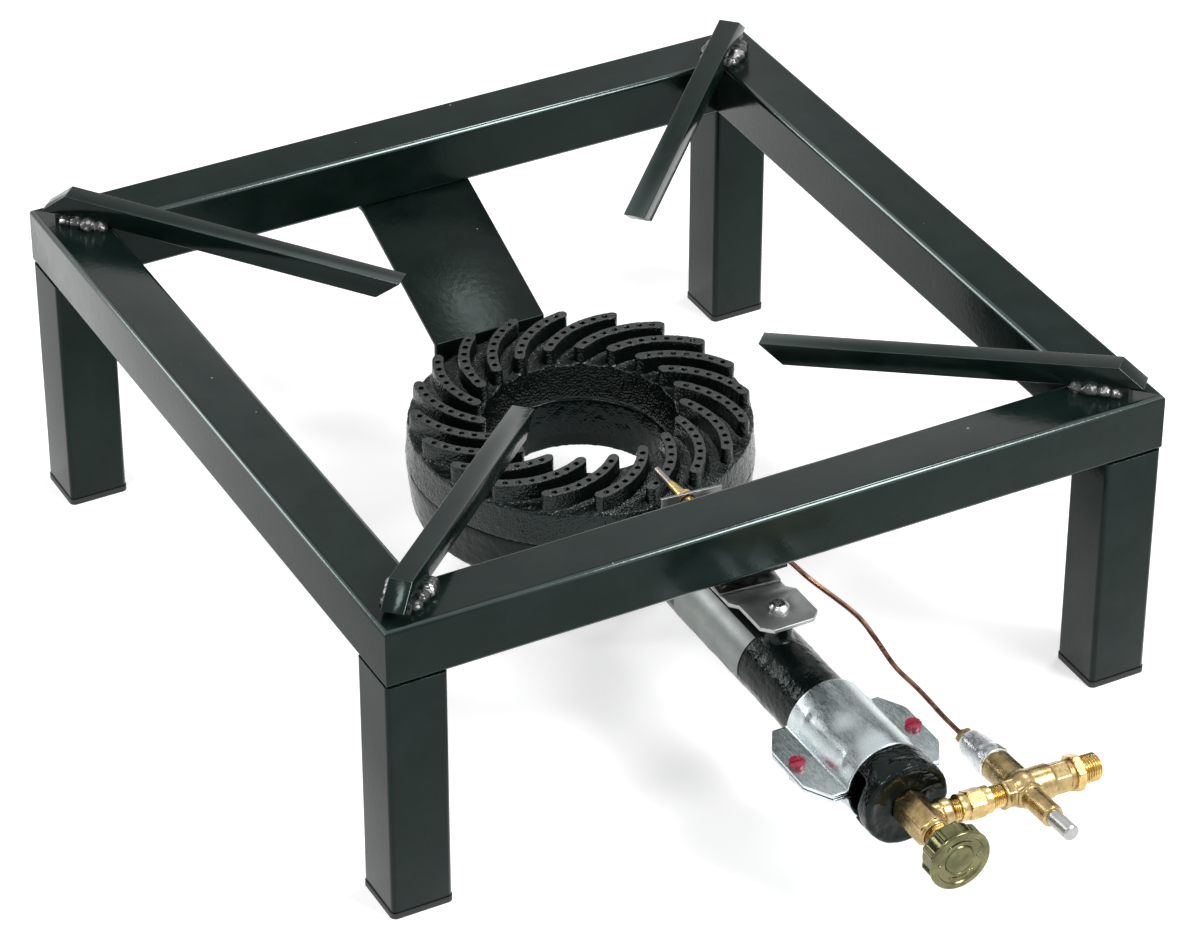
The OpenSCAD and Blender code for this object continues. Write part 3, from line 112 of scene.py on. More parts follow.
def rings(r, a, h):
    """Points at radius r and angle a about Z, at height h; the three are spread over one grid."""
    return np.stack(np.broadcast_arrays(r * np.cos(a), r * np.sin(a), h), axis=-1)


def join(*parts):
    """Several (vertices, faces) as one."""
    verts, faces, start = [], [], 0
    for v, f in parts:
        verts.append(v)
        faces.append(f + start)
        start += len(v)
    return np.concatenate(verts), np.concatenate(faces)


def volume(part):
    """Signed volume of a closed shell: a sum of tetrahedra from its middle."""
    v, f = part
    p = v[f] - v.mean(0)
    a = np.einsum("ij,ij->i", p[:, 0], np.cross(p[:, 1], p[:, 2]))
    b = np.einsum("ij,ij->i", p[:, 0], np.cross(p[:, 2], p[:, 3]))
    return (a + b).sum() / 6


def outward(part):
    """The shell with its faces turned out."""
    v, f = part
    return (v, f) if volume(part) > 0 else (v, f[:, ::-1])


def arc_corners(points, radii, steps):
    """An open 2D line with each inner corner cut to an arc that touches both of its sides."""
    p = np.asarray(points, float)
    radii = np.broadcast_to(np.asarray(radii, float), (len(p),))
    out = [p[0]]
    for i in range(1, len(p) - 1):
        a, b = p[i - 1] - p[i], p[i + 1] - p[i]
        la, lb = np.linalg.norm(a), np.linalg.norm(b)
        a, b = a / la, b / lb
        half = math.acos(max(-1, min(1, float(a @ b)))) / 2
        reach = min(radii[i] / max(math.tan(half), 1e-6), 0.49 * la, 0.49 * lb)
        if radii[i] <= 0 or reach < 1e-6 or half > math.radians(89):
            out.append(p[i])
            continue
        t = np.linspace(0, 1, steps + 1)[:, None]
        start, end = p[i] + a * reach, p[i] + b * reach
        out.extend((1 - t) ** 2 * start + 2 * t * (1 - t) * p[i] + t**2 * end)
    out.append(p[-1])
    return np.array(out)


def lathe(profile, segments, radii=0.0, wave=None):
    """Profile of (radius, height) turned about Z. wave changes the radius by angle and height."""
    line = arc_corners(profile, radii, 3)
    a = around(segments)[None, :]
    r, h = line[:, :1] * np.ones_like(a), line[:, 1:]
    if wave is not None:
        r = wave(r, a, h)
    return outward(sheet(rings(r, a, h), True))


def flats(width, sides=6, turn=0.0, corner=0.985):
    """Wave for lathe: a radius is held inside a regular prism of this width across its flats."""

    def wave(r, a, h):
        step = TAU / sides
        off = (a - turn + step / 2) % step - step / 2
        edge = np.minimum(width / 2 / np.cos(off), width / 2 / math.cos(step / 2) * corner)
        return np.minimum(r, edge)

    return wave


def chamfered(width, low, high, inner, slope, turn=0.0):
    """Wave for lathe: radii past 7 become a hexagon whose corners fall off to a cone at both ends.

    The cone's radius at height h is inner + slope*min(h - low, high - h).
    """
    hexagon = flats(width, 6, turn)

    def wave(r, a, h):
        cone = inner + np.minimum(h - low, high - h) * slope
        return np.where(r > 7, np.minimum(hexagon(r, a, h), cone), r)

    return wave


def facing_y(part, x, y):
    """Turns a lathe so that its height runs along +Y from (x, y), at the height of the pipe."""
    v, f = part
    return np.stack([v[:, 0] + x, v[:, 2] + y, -v[:, 1] + PIPE_Z], axis=1), f


def facing_x(part, x):
    """Turns a lathe so that its height runs along +X from x, through the tap's middle."""
    v, f = part
    return np.stack([v[:, 2] + x, v[:, 0] + TAP_Y, v[:, 1] + PIPE_Z], axis=1), f


def facing_z(part, y):
    """Moves an upright lathe along Y."""
    v, f = part
    return v + [0, y, 0], f


def turned(part, axis, angle, pivot):
    """Turns a part about an axis through pivot by the right-hand rule."""
    v, f = part
    k = np.asarray(axis, float)
    k = k / np.linalg.norm(k)
    p = v - pivot
    c, s = math.cos(angle), math.sin(angle)
    return p * c + np.cross(k, p) * s + np.outer(p @ k, k) * (1 - c) + pivot, f


JOINT_POINT = np.array([0.0, TAP_Y, PIPE_Z])


def tap_turn(part):
    """Rolls a part of the tap about the pipe axis."""
    return turned(part, (0, 1, 0), TAP_ROLL, JOINT_POINT)


def valve_turn(part):
    """Pitches a part of the valve about the coupling axis, then rolls it with the tap."""
    return tap_turn(turned(part, (1, 0, 0), -VALVE_PITCH, JOINT_POINT))


def thread(radius, depth, pitch, h, a):
    """Radius of a thread: it falls by depth where height/pitch - angle is between two turns."""
    phase = (h / pitch - a / TAU) % 1
    return radius - depth * np.clip(np.abs(phase - 0.5) * 2.6 - 0.15, 0, 1)


def screw_thread(radius, pitch, length):
    """Threaded rod, its radius held under a cone over the last bit of both ends."""
    ends = 0.6
    h = np.linspace(0, length, int(length / pitch * 9) + 1)[:, None]
    a = around(72)[None, :]
    r = thread(radius, 0.6 * pitch, pitch, h, a)
    r = np.minimum(r, radius - np.clip(ends - np.minimum(h, length - h), 0, ends) * 1.2)
    points = rings(r, a, h)
    first, last = (points[[k]] * [0.01, 0.01, 1] for k in (0, -1))
    return outward(sheet(np.concatenate([first, points, last]), True))


def vertex_normals(v, f):
    """Normals at points: the sum of the faces' cross products about each point."""
    n = np.cross(v[f[:, 2]] - v[f[:, 0]], v[f[:, 3]] - v[f[:, 1]])
    total = np.zeros_like(v)
    for k in range(4):
        np.add.at(total, f[:, k], n)
    return total / np.maximum(np.linalg.norm(total, axis=1, keepdims=True), 1e-12)


# Pieces


def to_frame(points):
    """Points in mm about the burner axis as a flat list in metres in the frame of the solids."""
    return ((points + [0, SHIFT, 0]) / 1000).astype(np.float32).ravel()


def placed(name, data):
    """A new object in the scene, at the origin."""
    obj = bpy.data.objects.new(name, data)
    bpy.context.scene.collection.objects.link(obj)
    return obj


def piece(name, part, body, material, replaces=(), sharp=38.0):
    v, f = part
    mesh = bpy.data.meshes.new(name)
    mesh.vertices.add(len(v))
    mesh.vertices.foreach_set("co", to_frame(v))
    mesh.loops.add(f.size)
    mesh.loops.foreach_set("vertex_index", f.astype(np.int32).ravel())
    mesh.polygons.add(len(f))
    mesh.polygons.foreach_set("loop_start", np.arange(0, f.size, 4, dtype=np.int32))
    mesh.update(calc_edges=True)
    clean(mesh)
    return declare(placed(name, mesh), body, material, replaces, sharp)


def declare(obj, body, material, replaces, sharp):
    """Gives an object its finish, and says what it rides on and replaces."""
    obj.data.polygons.foreach_set("use_smooth", [True] * len(obj.data.polygons))
    obj.data.set_sharp_from_angle(angle=math.radians(sharp))
    obj.data.materials.clear()
    obj.data.materials.append(material)
    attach(obj, body)
    if replaces:
        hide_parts(*replaces)
    return obj


def clean(mesh):
    """Closes seams and poles, and drops faces that have shrunk to nothing."""
    bm = bmesh.new()
    bm.from_mesh(mesh)
    bmesh.ops.remove_doubles(bm, verts=bm.verts, dist=MERGE)
    bmesh.ops.dissolve_degenerate(bm, edges=bm.edges, dist=MERGE)
    bm.to_mesh(mesh)
    bm.free()


def settle(obj):
    """Applies the object's modifiers, and gives its (points in mm, normals)."""
    bpy.context.view_layer.update()
    graph = bpy.context.evaluated_depsgraph_get()
    mesh = bpy.data.meshes.new_from_object(obj.evaluated_get(graph))
    obj.modifiers.clear()
    obj.data = mesh
    points, normals = np.zeros((2, len(mesh.vertices) * 3), np.float32)
    mesh.vertices.foreach_get("co", points)
    mesh.vertices.foreach_get("normal", normals)
    return points.reshape(-1, 3) * 1000.0 - [0, SHIFT, 0], normals.reshape(-1, 3)


def cast_piece(name, part, body, material, replaces, voxel, smooth, lift):
    """Shells melted into one skin with soft corners; lift(points) then roughens it, in mm."""
    v, f = part
    mesh = bpy.data.meshes.new(name)
    mesh.from_pydata(((v + [0, SHIFT, 0]) / 1000).tolist(), [], f.tolist())
    clean(mesh)
    obj = placed(name, mesh)
    remesh = obj.modifiers.new("Skin", "REMESH")
    remesh.mode, remesh.voxel_size, remesh.adaptivity = "VOXEL", voxel / 1000, 0
    soft = obj.modifiers.new("Soft corners", "SMOOTH")
    soft.factor, soft.iterations = 0.5, smooth
    points, normals = settle(obj)
    obj.data.vertices.foreach_set("co", to_frame(points + normals * lift(points)[:, None]))
    obj.data.update()
    return declare(obj, body, material, replaces, 180.0)


# Finishes


def fill(tree, node, sockets):
    """Links or sets a node's inputs; each value is another node's output or a plain value."""
    for key, value in sockets.items():
        if isinstance(value, bpy.types.NodeSocket):
            tree.links.new(value, node.inputs[key])
        else:
            node.inputs[key].default_value = value


def add(tree, kind, sockets=None, **settings):
    """A node with its settings, and its inputs filled."""
    node = tree.nodes.new(kind)
    for key, value in settings.items():
        setattr(node, key, value)
    fill(tree, node, sockets or {})
    return node


def math_node(tree, operation, a, b=None, clamp=False):
    """One arithmetic step; a and b are sockets or numbers."""
    sockets = {0: a} if b is None else {0: a, 1: b}
    return add(tree, "ShaderNodeMath", sockets, operation=operation, use_clamp=clamp).outputs[0]


def times(tree, a, b):
    """The product of two sockets or numbers."""
    return math_node(tree, "MULTIPLY", a, b)


def plus(tree, a, b):
    """The sum of two sockets or numbers."""
    return math_node(tree, "ADD", a, b)


def normal_axes(tree):
    """The surface normal's X, Y and Z."""
    normal = add(tree, "ShaderNodeNewGeometry").outputs["Normal"]
    return add(tree, "ShaderNodeSeparateXYZ", {"Vector": normal}).outputs


def band(tree, value, low, high, out_low=0.0, out_high=1.0):
    """A value stretched from the range low..high to out_low..out_high, smoothly and clamped."""
    return add(tree, "ShaderNodeMapRange", {
        "Value": value, "From Min": low, "From Max": high, "To Min": out_low, "To Max": out_high},
        interpolation_type="SMOOTHSTEP").outputs[0]


def mixed(tree, factor, a, b):
    """Two colours mixed by a factor; each is a socket or a colour."""
    node = add(tree, "ShaderNodeMix", data_type="RGBA")
    for key, value in (("Factor", factor), ("A", a), ("B", b)):
        socket = [s for s in node.inputs if s.name == key and
                  s.type == ("VALUE" if key == "Factor" else "RGBA")][0]
        if isinstance(value, bpy.types.NodeSocket):
            tree.links.new(value, socket)
        else:
            socket.default_value = value if key == "Factor" else (*value[:3], 1)
    return [s for s in node.outputs if s.type == "RGBA"][0]


def group(name, inputs, outputs):
    """An empty shader node group with named inputs (kind, value) and outputs."""
    tree = bpy.data.node_groups.new(name, "ShaderNodeTree")
    for key, (kind, value) in inputs.items():
        socket = tree.interface.new_socket(name=key, in_out="INPUT", socket_type=kind)
        if value is not None:
            socket.default_value = value
    for key, kind in outputs.items():
        tree.interface.new_socket(name=key, in_out="OUTPUT", socket_type=kind)
    return tree, add(tree, "NodeGroupInput").outputs, add(tree, "NodeGroupOutput").inputs


def grain(tree, vector, scale, detail, rough):
    """Noise texture from 0 to 1."""
    return add(tree, "ShaderNodeTexNoise", {
        "Vector": vector, "Scale": scale, "Detail": detail, "Roughness": rough}).outputs[0]


def make_cast_group():
    """Sand-cast skin: lumps, fine grit and pinholes as one height, and a mask of small specks that
    the cast paints fill with painted glints.
    """
    tree, given, out = group(
        "cast_skin",
        {"Vector": ("NodeSocketVector", None), "Size": ("NodeSocketFloat", 1.0)},
        {"Height": "NodeSocketFloat", "Specks and glints": "NodeSocketFloat"},
    )
    v = given["Vector"]
    lumps = grain(tree, v, times(tree, given["Size"], 260.0), 3.0, 0.6)
    grit = grain(tree, v, times(tree, given["Size"], 1100.0), 3.0, 0.7)
    pits = add(tree, "ShaderNodeTexVoronoi", {
        "Vector": v, "Scale": times(tree, given["Size"], 700.0)}).outputs["Distance"]
    height = plus(tree, times(tree, lumps, 0.4), times(tree, grit, 0.12))
    tree.links.new(plus(tree, height, times(tree, pits, 0.4)), out["Height"])
    tree.links.new(band(tree, grit, 0.66, 0.74), out["Specks and glints"])
    return tree


def make_paint_group():
    """Gloss enamel: orange peel as height, and a mask of dust specks that settle on top faces."""
    tree, given, out = group(
        "enamel_skin",
        {"Vector": ("NodeSocketVector", None)},
        {"Height": "NodeSocketFloat", "Dust": "NodeSocketFloat", "Cloud": "NodeSocketFloat"},
    )
    v = given["Vector"]
    peel = grain(tree, v, 330.0, 2.0, 0.45)
    swell = grain(tree, v, 28.0, 1.0, 0.5)
    tree.links.new(plus(tree, peel, times(tree, swell, 2.0)), out["Height"])
    cells = add(tree, "ShaderNodeTexVoronoi", {"Vector": v, "Scale": 170.0, "Randomness": 1.0})
    size = band(tree, cells.outputs["Color"], 0.80, 1.0, 0.0, 0.16)
    speck = math_node(tree, "LESS_THAN", cells.outputs["Distance"], size)
    upward = band(tree, normal_axes(tree)["Z"], 0.5, 0.9)
    tree.links.new(times(tree, speck, upward), out["Dust"])
    tree.links.new(grain(tree, v, 45.0, 3.0, 0.6), out["Cloud"])
    return tree


def make_metal_group():
    """Bare metal: clouds of tarnish, fine scratches across a direction, and small dents."""
    tree, given, out = group(
        "metal_skin",
        {"Vector": ("NodeSocketVector", None), "Stretch": ("NodeSocketVector", (1, 1, 1)),
         "Size": ("NodeSocketFloat", 1.0)},
        {"Cloud": "NodeSocketFloat", "Scratches": "NodeSocketFloat", "Height": "NodeSocketFloat"},
    )
    v = given["Vector"]
    drawn = add(tree, "ShaderNodeVectorMath", {0: v, 1: given["Stretch"]}, operation="MULTIPLY")
    lines = grain(tree, drawn.outputs[0], 900.0, 2.0, 0.6)
    dents = grain(tree, v, times(tree, given["Size"], 420.0), 2.0, 0.5)
    tree.links.new(grain(tree, v, times(tree, given["Size"], 90.0), 4.0, 0.62), out["Cloud"])
    tree.links.new(lines, out["Scratches"])
    tree.links.new(plus(tree, times(tree, lines, 0.4), dents), out["Height"])
    return tree


CAST_SKIN, ENAMEL_SKIN, METAL_SKIN = make_cast_group(), make_paint_group(), make_metal_group()


GREEN_GLEAM = (0.82, 1.0, 0.96, 1)  # the faint green of what the dark paints reflect


def finish_of(name):
    """A new material: its tree, the Principled shader and the object coordinates."""
    material = bpy.data.materials.new(name)
    material.use_nodes = True
    tree = material.node_tree
    shader = next(n for n in tree.nodes if n.type == "BSDF_PRINCIPLED")
    return material, tree, shader, add(tree, "ShaderNodeTexCoord").outputs["Object"]


def skin(tree, which, vector, **values):
    """A group placed in a material with its own values."""
    return add(tree, "ShaderNodeGroup", {"Vector": vector, **values}, node_tree=which).outputs


def bump(tree, height, strength, distance):
    """A height as a normal."""
    return add(tree, "ShaderNodeBump", {
        "Height": height, "Strength": strength, "Distance": distance}).outputs["Normal"]


def enamel(name, colour, dust_colour, rough, dust_rough, peel, flat_gloss=0.17, edge_gloss=1.0):
    """Gloss enamel over metal: orange peel, faint clouds, specks of dust, shiny paint on edges.

    Faces that look along one axis shine by flat_gloss. Rounded edges between them shine by
    edge_gloss, apart from the upright ones.
    """
    material, tree, shader, vector = finish_of(name)
    s = skin(tree, ENAMEL_SKIN, vector)
    lighter = [min(1.0, c * 1.25 + 0.002) for c in colour]
    base = mixed(tree, band(tree, s["Cloud"], 0.35, 0.7), colour, lighter)
    gloss = band(tree, s["Cloud"], 0.3, 0.75, rough, rough * 1.3)
    n = normal_axes(tree)
    x, y, z = (math_node(tree, "ABSOLUTE", n[axis]) for axis in "XYZ")
    flat = math_node(tree, "MAXIMUM", math_node(tree, "MAXIMUM", x, y), z)
    edge = times(tree, band(tree, flat, 0.94, 0.99, 1.0, 0.0),
                 band(tree, times(tree, x, y), 0.05, 0.15, 1.0, 0.0))
    fill(tree, shader, {
        "Base Color": mixed(tree, s["Dust"], base, dust_colour),
        "Roughness": plus(tree, gloss, times(tree, s["Dust"], dust_rough)),
        "Specular IOR Level": band(tree, edge, 0.0, 1.0, flat_gloss, edge_gloss),
        "Specular Tint": GREEN_GLEAM,
        "Normal": bump(tree, s["Height"], peel, 0.001)})
    return material


def metal(name, colour, dark, rough, spread, stretch=(1, 1, 1), size=1.0, height=0.05,
          contrast=(0.35, 0.65)):
    """Bare metal: two tones mixed by tarnish clouds, roughness varied by scratches."""
    material, tree, shader, vector = finish_of(name)
    s = skin(tree, METAL_SKIN, vector, Stretch=stretch, Size=size)
    fill(tree, shader, {
        "Base Color": mixed(tree, band(tree, s["Cloud"], *contrast), dark, colour),
        "Roughness": band(tree, s["Scratches"], 0.3, 0.7, rough, rough + spread),
        "Metallic": 1.0,
        "Normal": bump(tree, s["Height"], height, 0.0006)})
    return material


def cast_paint(name, colour, painted_glint_colour, rough, size, strength, gloss_level, ground=None):
    """Thick gloss paint on a rough casting, with lighter specks painted in as glints.

    ground=(z, colour) wears upward faces above z, in mm, to grey metal, along a wavering line.
    """
    material, tree, shader, vector = finish_of(name)
    s = skin(tree, CAST_SKIN, vector, Size=size)
    # The lighter specks are painted glints, standing in for the sparkle of the rough cast skin.
    base = mixed(tree, times(tree, s["Specks and glints"], 0.35), colour, painted_glint_colour)
    gloss = band(tree, s["Height"], 0.3, 0.6, rough * 0.75, rough * 1.4)
    if ground is not None:
        level = ground[0] / 1000
        height = add(tree, "ShaderNodeSeparateXYZ", {"Vector": vector}).outputs["Z"]
        wobble = times(tree, grain(tree, vector, 900.0, 3.0, 0.7), 0.0007)
        high = math_node(tree, "SUBTRACT", plus(tree, height, wobble), 0.00035)
        worn = times(tree, band(tree, high, level - 0.00035, level + 0.00005),
                     band(tree, normal_axes(tree)["Z"], 0.2, 0.6))
        tone = mixed(tree, grain(tree, vector, 420.0, 4.0, 0.7), ground[1],
                     [c * 2.1 for c in ground[1]])
        base = mixed(tree, worn, base, tone)
        gloss = math_node(tree, "ADD", gloss, times(tree, worn, 0.18), clamp=True)
    fill(tree, shader, {
        "Base Color": base, "Roughness": gloss, "Specular IOR Level": gloss_level,
        "Specular Tint": GREEN_GLEAM, "Normal": bump(tree, s["Height"], strength, 0.0012)})
    return material


def plastic(name, colour, rough):
    """Black moulded plastic with a fine etched grain."""
    material, tree, shader, vector = finish_of(name)
    s = skin(tree, CAST_SKIN, vector, Size=2.2)
    fill(tree, shader, {
        "Base Color": mixed(tree, s["Specks and glints"], colour, [c * 1.6 + 0.004 for c in colour]),
        "Roughness": band(tree, s["Height"], 0.3, 0.6, rough, rough + 0.15),
        "Normal": bump(tree, s["Height"], 0.12, 0.0003)})
    return material


PAINT = enamel("frame_enamel", (0.0032, 0.0085, 0.0070), (0.20, 0.22, 0.21), 0.14, 0.5, 0.05)
# A darker copy of the frame's enamel: the strap's darker colour is painted shade.
SHADED_STRAP_PAINT = enamel("strap_enamel_painted_shade", (0.002, 0.0055, 0.0045), (0.30, 0.33, 0.33), 0.22, 0.3, 0.1,
                      0.13, 0.13)
CAP_PLASTIC = plastic("cap_plastic", (0.008, 0.009, 0.009), 0.38)
# The second colour of each cast paint is the lighter colour of its painted glints.
CROWN_PAINT = cast_paint("crown_paint", (0.0022, 0.0042, 0.0036), (0.08, 0.08, 0.08), 0.09, 1.15,
                         0.65, 0.36, (99.6, (0.020, 0.0215, 0.0205)))
PIPE_PAINT = cast_paint("pipe_paint", (0.0022, 0.0048, 0.0042), (0.04, 0.045, 0.045), 0.11, 1.1,
                        0.2, 0.2)
FOIL = metal("label_foil", (0.25, 0.27, 0.26), (0.21, 0.23, 0.22), 0.38, 0.08, height=0.02)
ZINC_SHEET = metal("zinc_sheet", (0.64, 0.70, 0.71), (0.50, 0.56, 0.58), 0.24, 0.08,
                   (1, 0.25, 1), 0.6, 0.02, (0.25, 0.75))
ZINC = metal("zinc_hardware", (0.58, 0.60, 0.60), (0.40, 0.42, 0.42), 0.22, 0.14, size=2.0)
DARK_STEEL = metal("dark_steel", (0.05, 0.05, 0.05), (0.02, 0.02, 0.02), 0.38, 0.2)
STEEL = metal("satin_steel", (0.46, 0.48, 0.47), (0.36, 0.38, 0.37), 0.42, 0.08,
              (0.3, 1, 1), 0.5, 0.012)
BRACKET_STEEL = metal("bracket_steel", (0.24, 0.245, 0.24), (0.17, 0.175, 0.17), 0.30, 0.1,
                      height=0.02)
BRASS = metal("turned_brass", (0.68, 0.51, 0.23), (0.46, 0.32, 0.13), 0.18, 0.10, size=2.0)
CAST_BRASS = metal("cast_brass", (0.50, 0.37, 0.18), (0.30, 0.215, 0.095), 0.22, 0.10, size=2.0)
GOLD_BRASS = metal("thread_brass", (0.74, 0.54, 0.23), (0.50, 0.35, 0.13), 0.16, 0.10, size=2.0)
OLIVE = metal("olive_brass", (0.19, 0.18, 0.09), (0.10, 0.10, 0.05), 0.15, 0.08, size=1.2,
              height=0.02)
SEALING_WASHER = metal("sealing_washer", (0.46, 0.32, 0.15), (0.30, 0.20, 0.09), 0.3, 0.2)
HEATED_STEEL = metal("heat_tinted_steel", (0.32, 0.29, 0.27), (0.20, 0.17, 0.15), 0.3, 0.2)
COPPER = metal("drawn_copper", (0.40, 0.21, 0.14), (0.20, 0.11, 0.08), 0.22, 0.2, size=1.6)
ALUMINIUM = metal("turned_aluminium", (0.47, 0.48, 0.47), (0.37, 0.38, 0.37), 0.24, 0.12,
                  (1, 4, 1), 1.4, 0.05)
CAP_ZINC = metal("cap_zinc", (0.80, 0.82, 0.83), (0.60, 0.63, 0.65), 0.22, 0.14, size=1.8,
                 height=0.08)
RUBBER = plastic("rubber", (0.012, 0.012, 0.012), 0.6)


# Burner crown

# A rib's arc has its hub at radius RIB_HUB, and its ports stand RIB_PITCH degrees apart.
RIBS, PORTS = 20, 7
RIB_HUB, RIB_CURVE, RIB_W = 44.2, 45.6, 6.0
RIB_LAG, RIB_FROM, RIB_PITCH, RIB_LEAD, RIB_TAIL = 30.0, 29.06, 8.03, -0.8, 4.1
FLOOR_Z, RIB_H, RIB_TOP = 90.8, 9.3, 100.1
PORT_R, PORT_DEPTH, PORT_DIMPLE = 1.4, 7.0, 0.22
PORT_FLAT = 2.35  # half the width of the flat top that the ports are cut in
STEP = math.radians(RIB_PITCH) * RIB_CURVE
CELL, END = 12, 8  # columns of the rib grid at a port and over a round end


def rib_turn(k):
    """The angle of rib k about the burner axis."""
    return math.radians(k * 360 / RIBS + RIB_LEAD - RIB_LAG)


def rib_grid():
    """One rib as a grid: columns run along the arc, rows over the section from foot to foot.

    Each port is a cell of 12 columns. In it the squares about the middle are pulled to circles
    out to the port's rim and blend back to the cell's edge; points inside the rim drop down.
    """
    cell = np.linspace(-1, 1, CELL + 1)[:-1]
    u = np.concatenate([np.zeros(END), np.tile(cell, PORTS), [1.0], np.zeros(END)])
    port = np.concatenate([np.zeros(END), np.repeat(np.arange(PORTS), CELL),
                           np.full(END + 1, PORTS - 1)])
    s = (port + u / 2) * STEP
    tail = math.radians(RIB_TAIL) * RIB_CURVE
    round_end = np.sin(np.linspace(0, math.pi / 2, END + 1))
    first, last = -STEP / 2, (PORTS - 0.5) * STEP
    s[:END] = first - (tail + RIB_W / 2 - STEP / 2) * round_end[:0:-1]
    s[-END:] = last + (tail + RIB_W / 2 - STEP / 2) * round_end[1:]
    out_by = np.maximum(np.maximum(first - s, s - last) - (tail - STEP / 2), 0) / (RIB_W / 2)
    half = np.sqrt(np.maximum(1 - out_by**2, 1e-5))[:, None]
    v = np.linspace(-1, 1, CELL + 1)
    side = np.array([[3.75, -0.9], [3.35, 0.35], [3.12, 1.6], [3.05, 4.0], [2.98, 6.5],
                     [2.86, 8.6], [2.68, 9.08], [2.5, 9.26]])
    t = np.concatenate([-side[:, 0], v * PORT_FLAT, side[::-1, 0]])
    z = np.concatenate([side[:, 1], np.full(len(v), RIB_H), side[::-1, 1]])
    along = np.repeat(s[:, None], len(t), 1)
    across = t[None, :] * half
    height = np.repeat(z[None, :], len(s), 0)
    uu, vv = u[END:-END][:, None], v[None, :]
    m = np.maximum(np.abs(uu), np.abs(vv))
    length = np.maximum(np.hypot(uu, vv), 1e-9)
    edge_u, edge_v = uu / np.maximum(m, 1e-9), vv / np.maximum(m, 1e-9)
    w = np.clip((m - 0.5) / 0.5, 0, 1)
    ring_r = np.where(m > 0.4, PORT_R, np.where(m > 0.25, PORT_R * 0.98, PORT_R * 0.5)) * (m > 0.01)
    top = slice(END, -END), slice(len(side), len(side) + len(v))
    along[top] = port[END:-END][:, None] * STEP + (
        (1 - w) * ring_r * uu / length + w * edge_u * STEP / 2)
    across[top] = (1 - w) * ring_r * vv / length + w * edge_v * PORT_FLAT
    height[top] = RIB_H - np.where(m > 0.6, 0, np.where(m > 0.4, PORT_DIMPLE, PORT_DEPTH))
    return along, across, height


def crown_ribs():
    """The 20 ribs: the rib grid is bent round its arc, then turned about the burner axis."""
    along, across, height = rib_grid()
    angle = math.radians(RIB_FROM) + along / RIB_CURVE + math.radians(RIB_LAG)
    radius = RIB_CURVE + across
    flat = rings(radius, angle, FLOOR_Z + height) + [RIB_HUB, 0, 0]
    parts = []
    for k in range(RIBS):
        c, s = math.cos(rib_turn(k)), math.sin(rib_turn(k))
        v, f = outward(sheet(flat @ np.array([[c, s, 0], [-s, c, 0], [0, 0, 1]])))
        up = np.clip(RIB_TOP - 0.6 - v[:, 2], 0, 1)
        edge = np.clip(1 - np.abs(v[:, 2] - (RIB_TOP - 0.4)) / 0.8, 0, 1)
        lump = noise(v, 1.9, 3, 3) * 0.34 * up + noise(v, 1.3, 9, 2) * 0.22 * edge
        lump = lump + noise(v, 9, 4) * 0.25 * up
        parts.append((v + vertex_normals(v, f) * lump[:, None], f))
    return join(*parts)


def crown_floor():
    """Channels and walls: one profile turned about the axis, its top lifted beside the ribs.

    The lift is 1.5*exp(-(d - 3)/1.1), where d is the distance to the nearest rib's middle line.
    """
    profile = np.concatenate([
        [[81.5, 73.2], [84.7, 73.0], [85.0, 73.4]],
        np.linspace([84.95, 74.4], [83.9, 89.6], 14),
        [[83.75, 90.3]],
        np.linspace([83.2, FLOOR_Z], [47.7, FLOOR_Z], 44),
        [[47.35, 90.5]],
        np.linspace([47.1, 89.6], [44.1, 73.6], 12),
        [[44.3, 73.0], [47.5, 73.0], [47.5, 80.0], [81.5, 80.0], [81.5, 73.2]],
    ])
    v, f = outward(sheet(rings(profile[:, :1], around(420), profile[:, 1:]), True))
    near = rib_distance(v)
    on_top = np.clip((v[:, 2] - FLOOR_Z + 0.6) / 0.6, 0, 1)
    rough = (noise(v, 1.8, 3, 3) * 0.42 + noise(v, 8, 8) * 0.18) * (v[:, 2] > 73.3)
    v = v + vertex_normals(v, f) * rough[:, None]
    v[:, 2] += on_top * (1.5 * np.exp(-np.maximum(near - 3, 0) / 1.1) - 0.35)
    return v, f


def rib_distance(v):
    """Distance in plan from the middle line of the nearest rib's arc."""
    best = np.full(len(v), np.inf)
    lag = math.radians(RIB_LAG)
    low = math.radians(RIB_FROM - 4.2)
    high = math.radians(RIB_FROM + (PORTS - 1) * RIB_PITCH + 4)
    for k in range(RIBS):
        c, s = math.cos(rib_turn(k)), math.sin(rib_turn(k))
        x = v[:, 0] * c + v[:, 1] * s - RIB_HUB
        y = -v[:, 0] * s + v[:, 1] * c
        angle = np.clip(np.arctan2(y, x) - lag, low, high) + lag
        d = np.hypot(x - RIB_CURVE * np.cos(angle), y - RIB_CURVE * np.sin(angle))
        best = np.minimum(best, d)
    return best


piece("burner_crown_cast", join(crown_ribs(), crown_floor()), "stove",
      CROWN_PAINT, ["burner_crown"], sharp=60)


# Burner body and mixer pipe

WINDOW_BACK, WINDOW_FRONT, WINDOW_HALF = -281.4, -299.4, 11.0
DRUM_BACK = -289.9
SEAM_Z = 73.0  # where the crown sits on the lower ring
LABEL_Y = -157
PLATE_SEAT_Z, STRAP_SEAT_Z = 97, 47.6


def ring_shell():
    """The lower ring of the burner: a closed profile turned about the axis."""
    return lathe([[41, 47.5], [41, 47], [82.5, 47], [85, 69.5], [85, 72.9], [44, 72.9],
                  [41, 54], [41, 47.5]], 240, [0, 1.2, 2.0, 1.0, 0.4, 0.4, 2.0, 0])


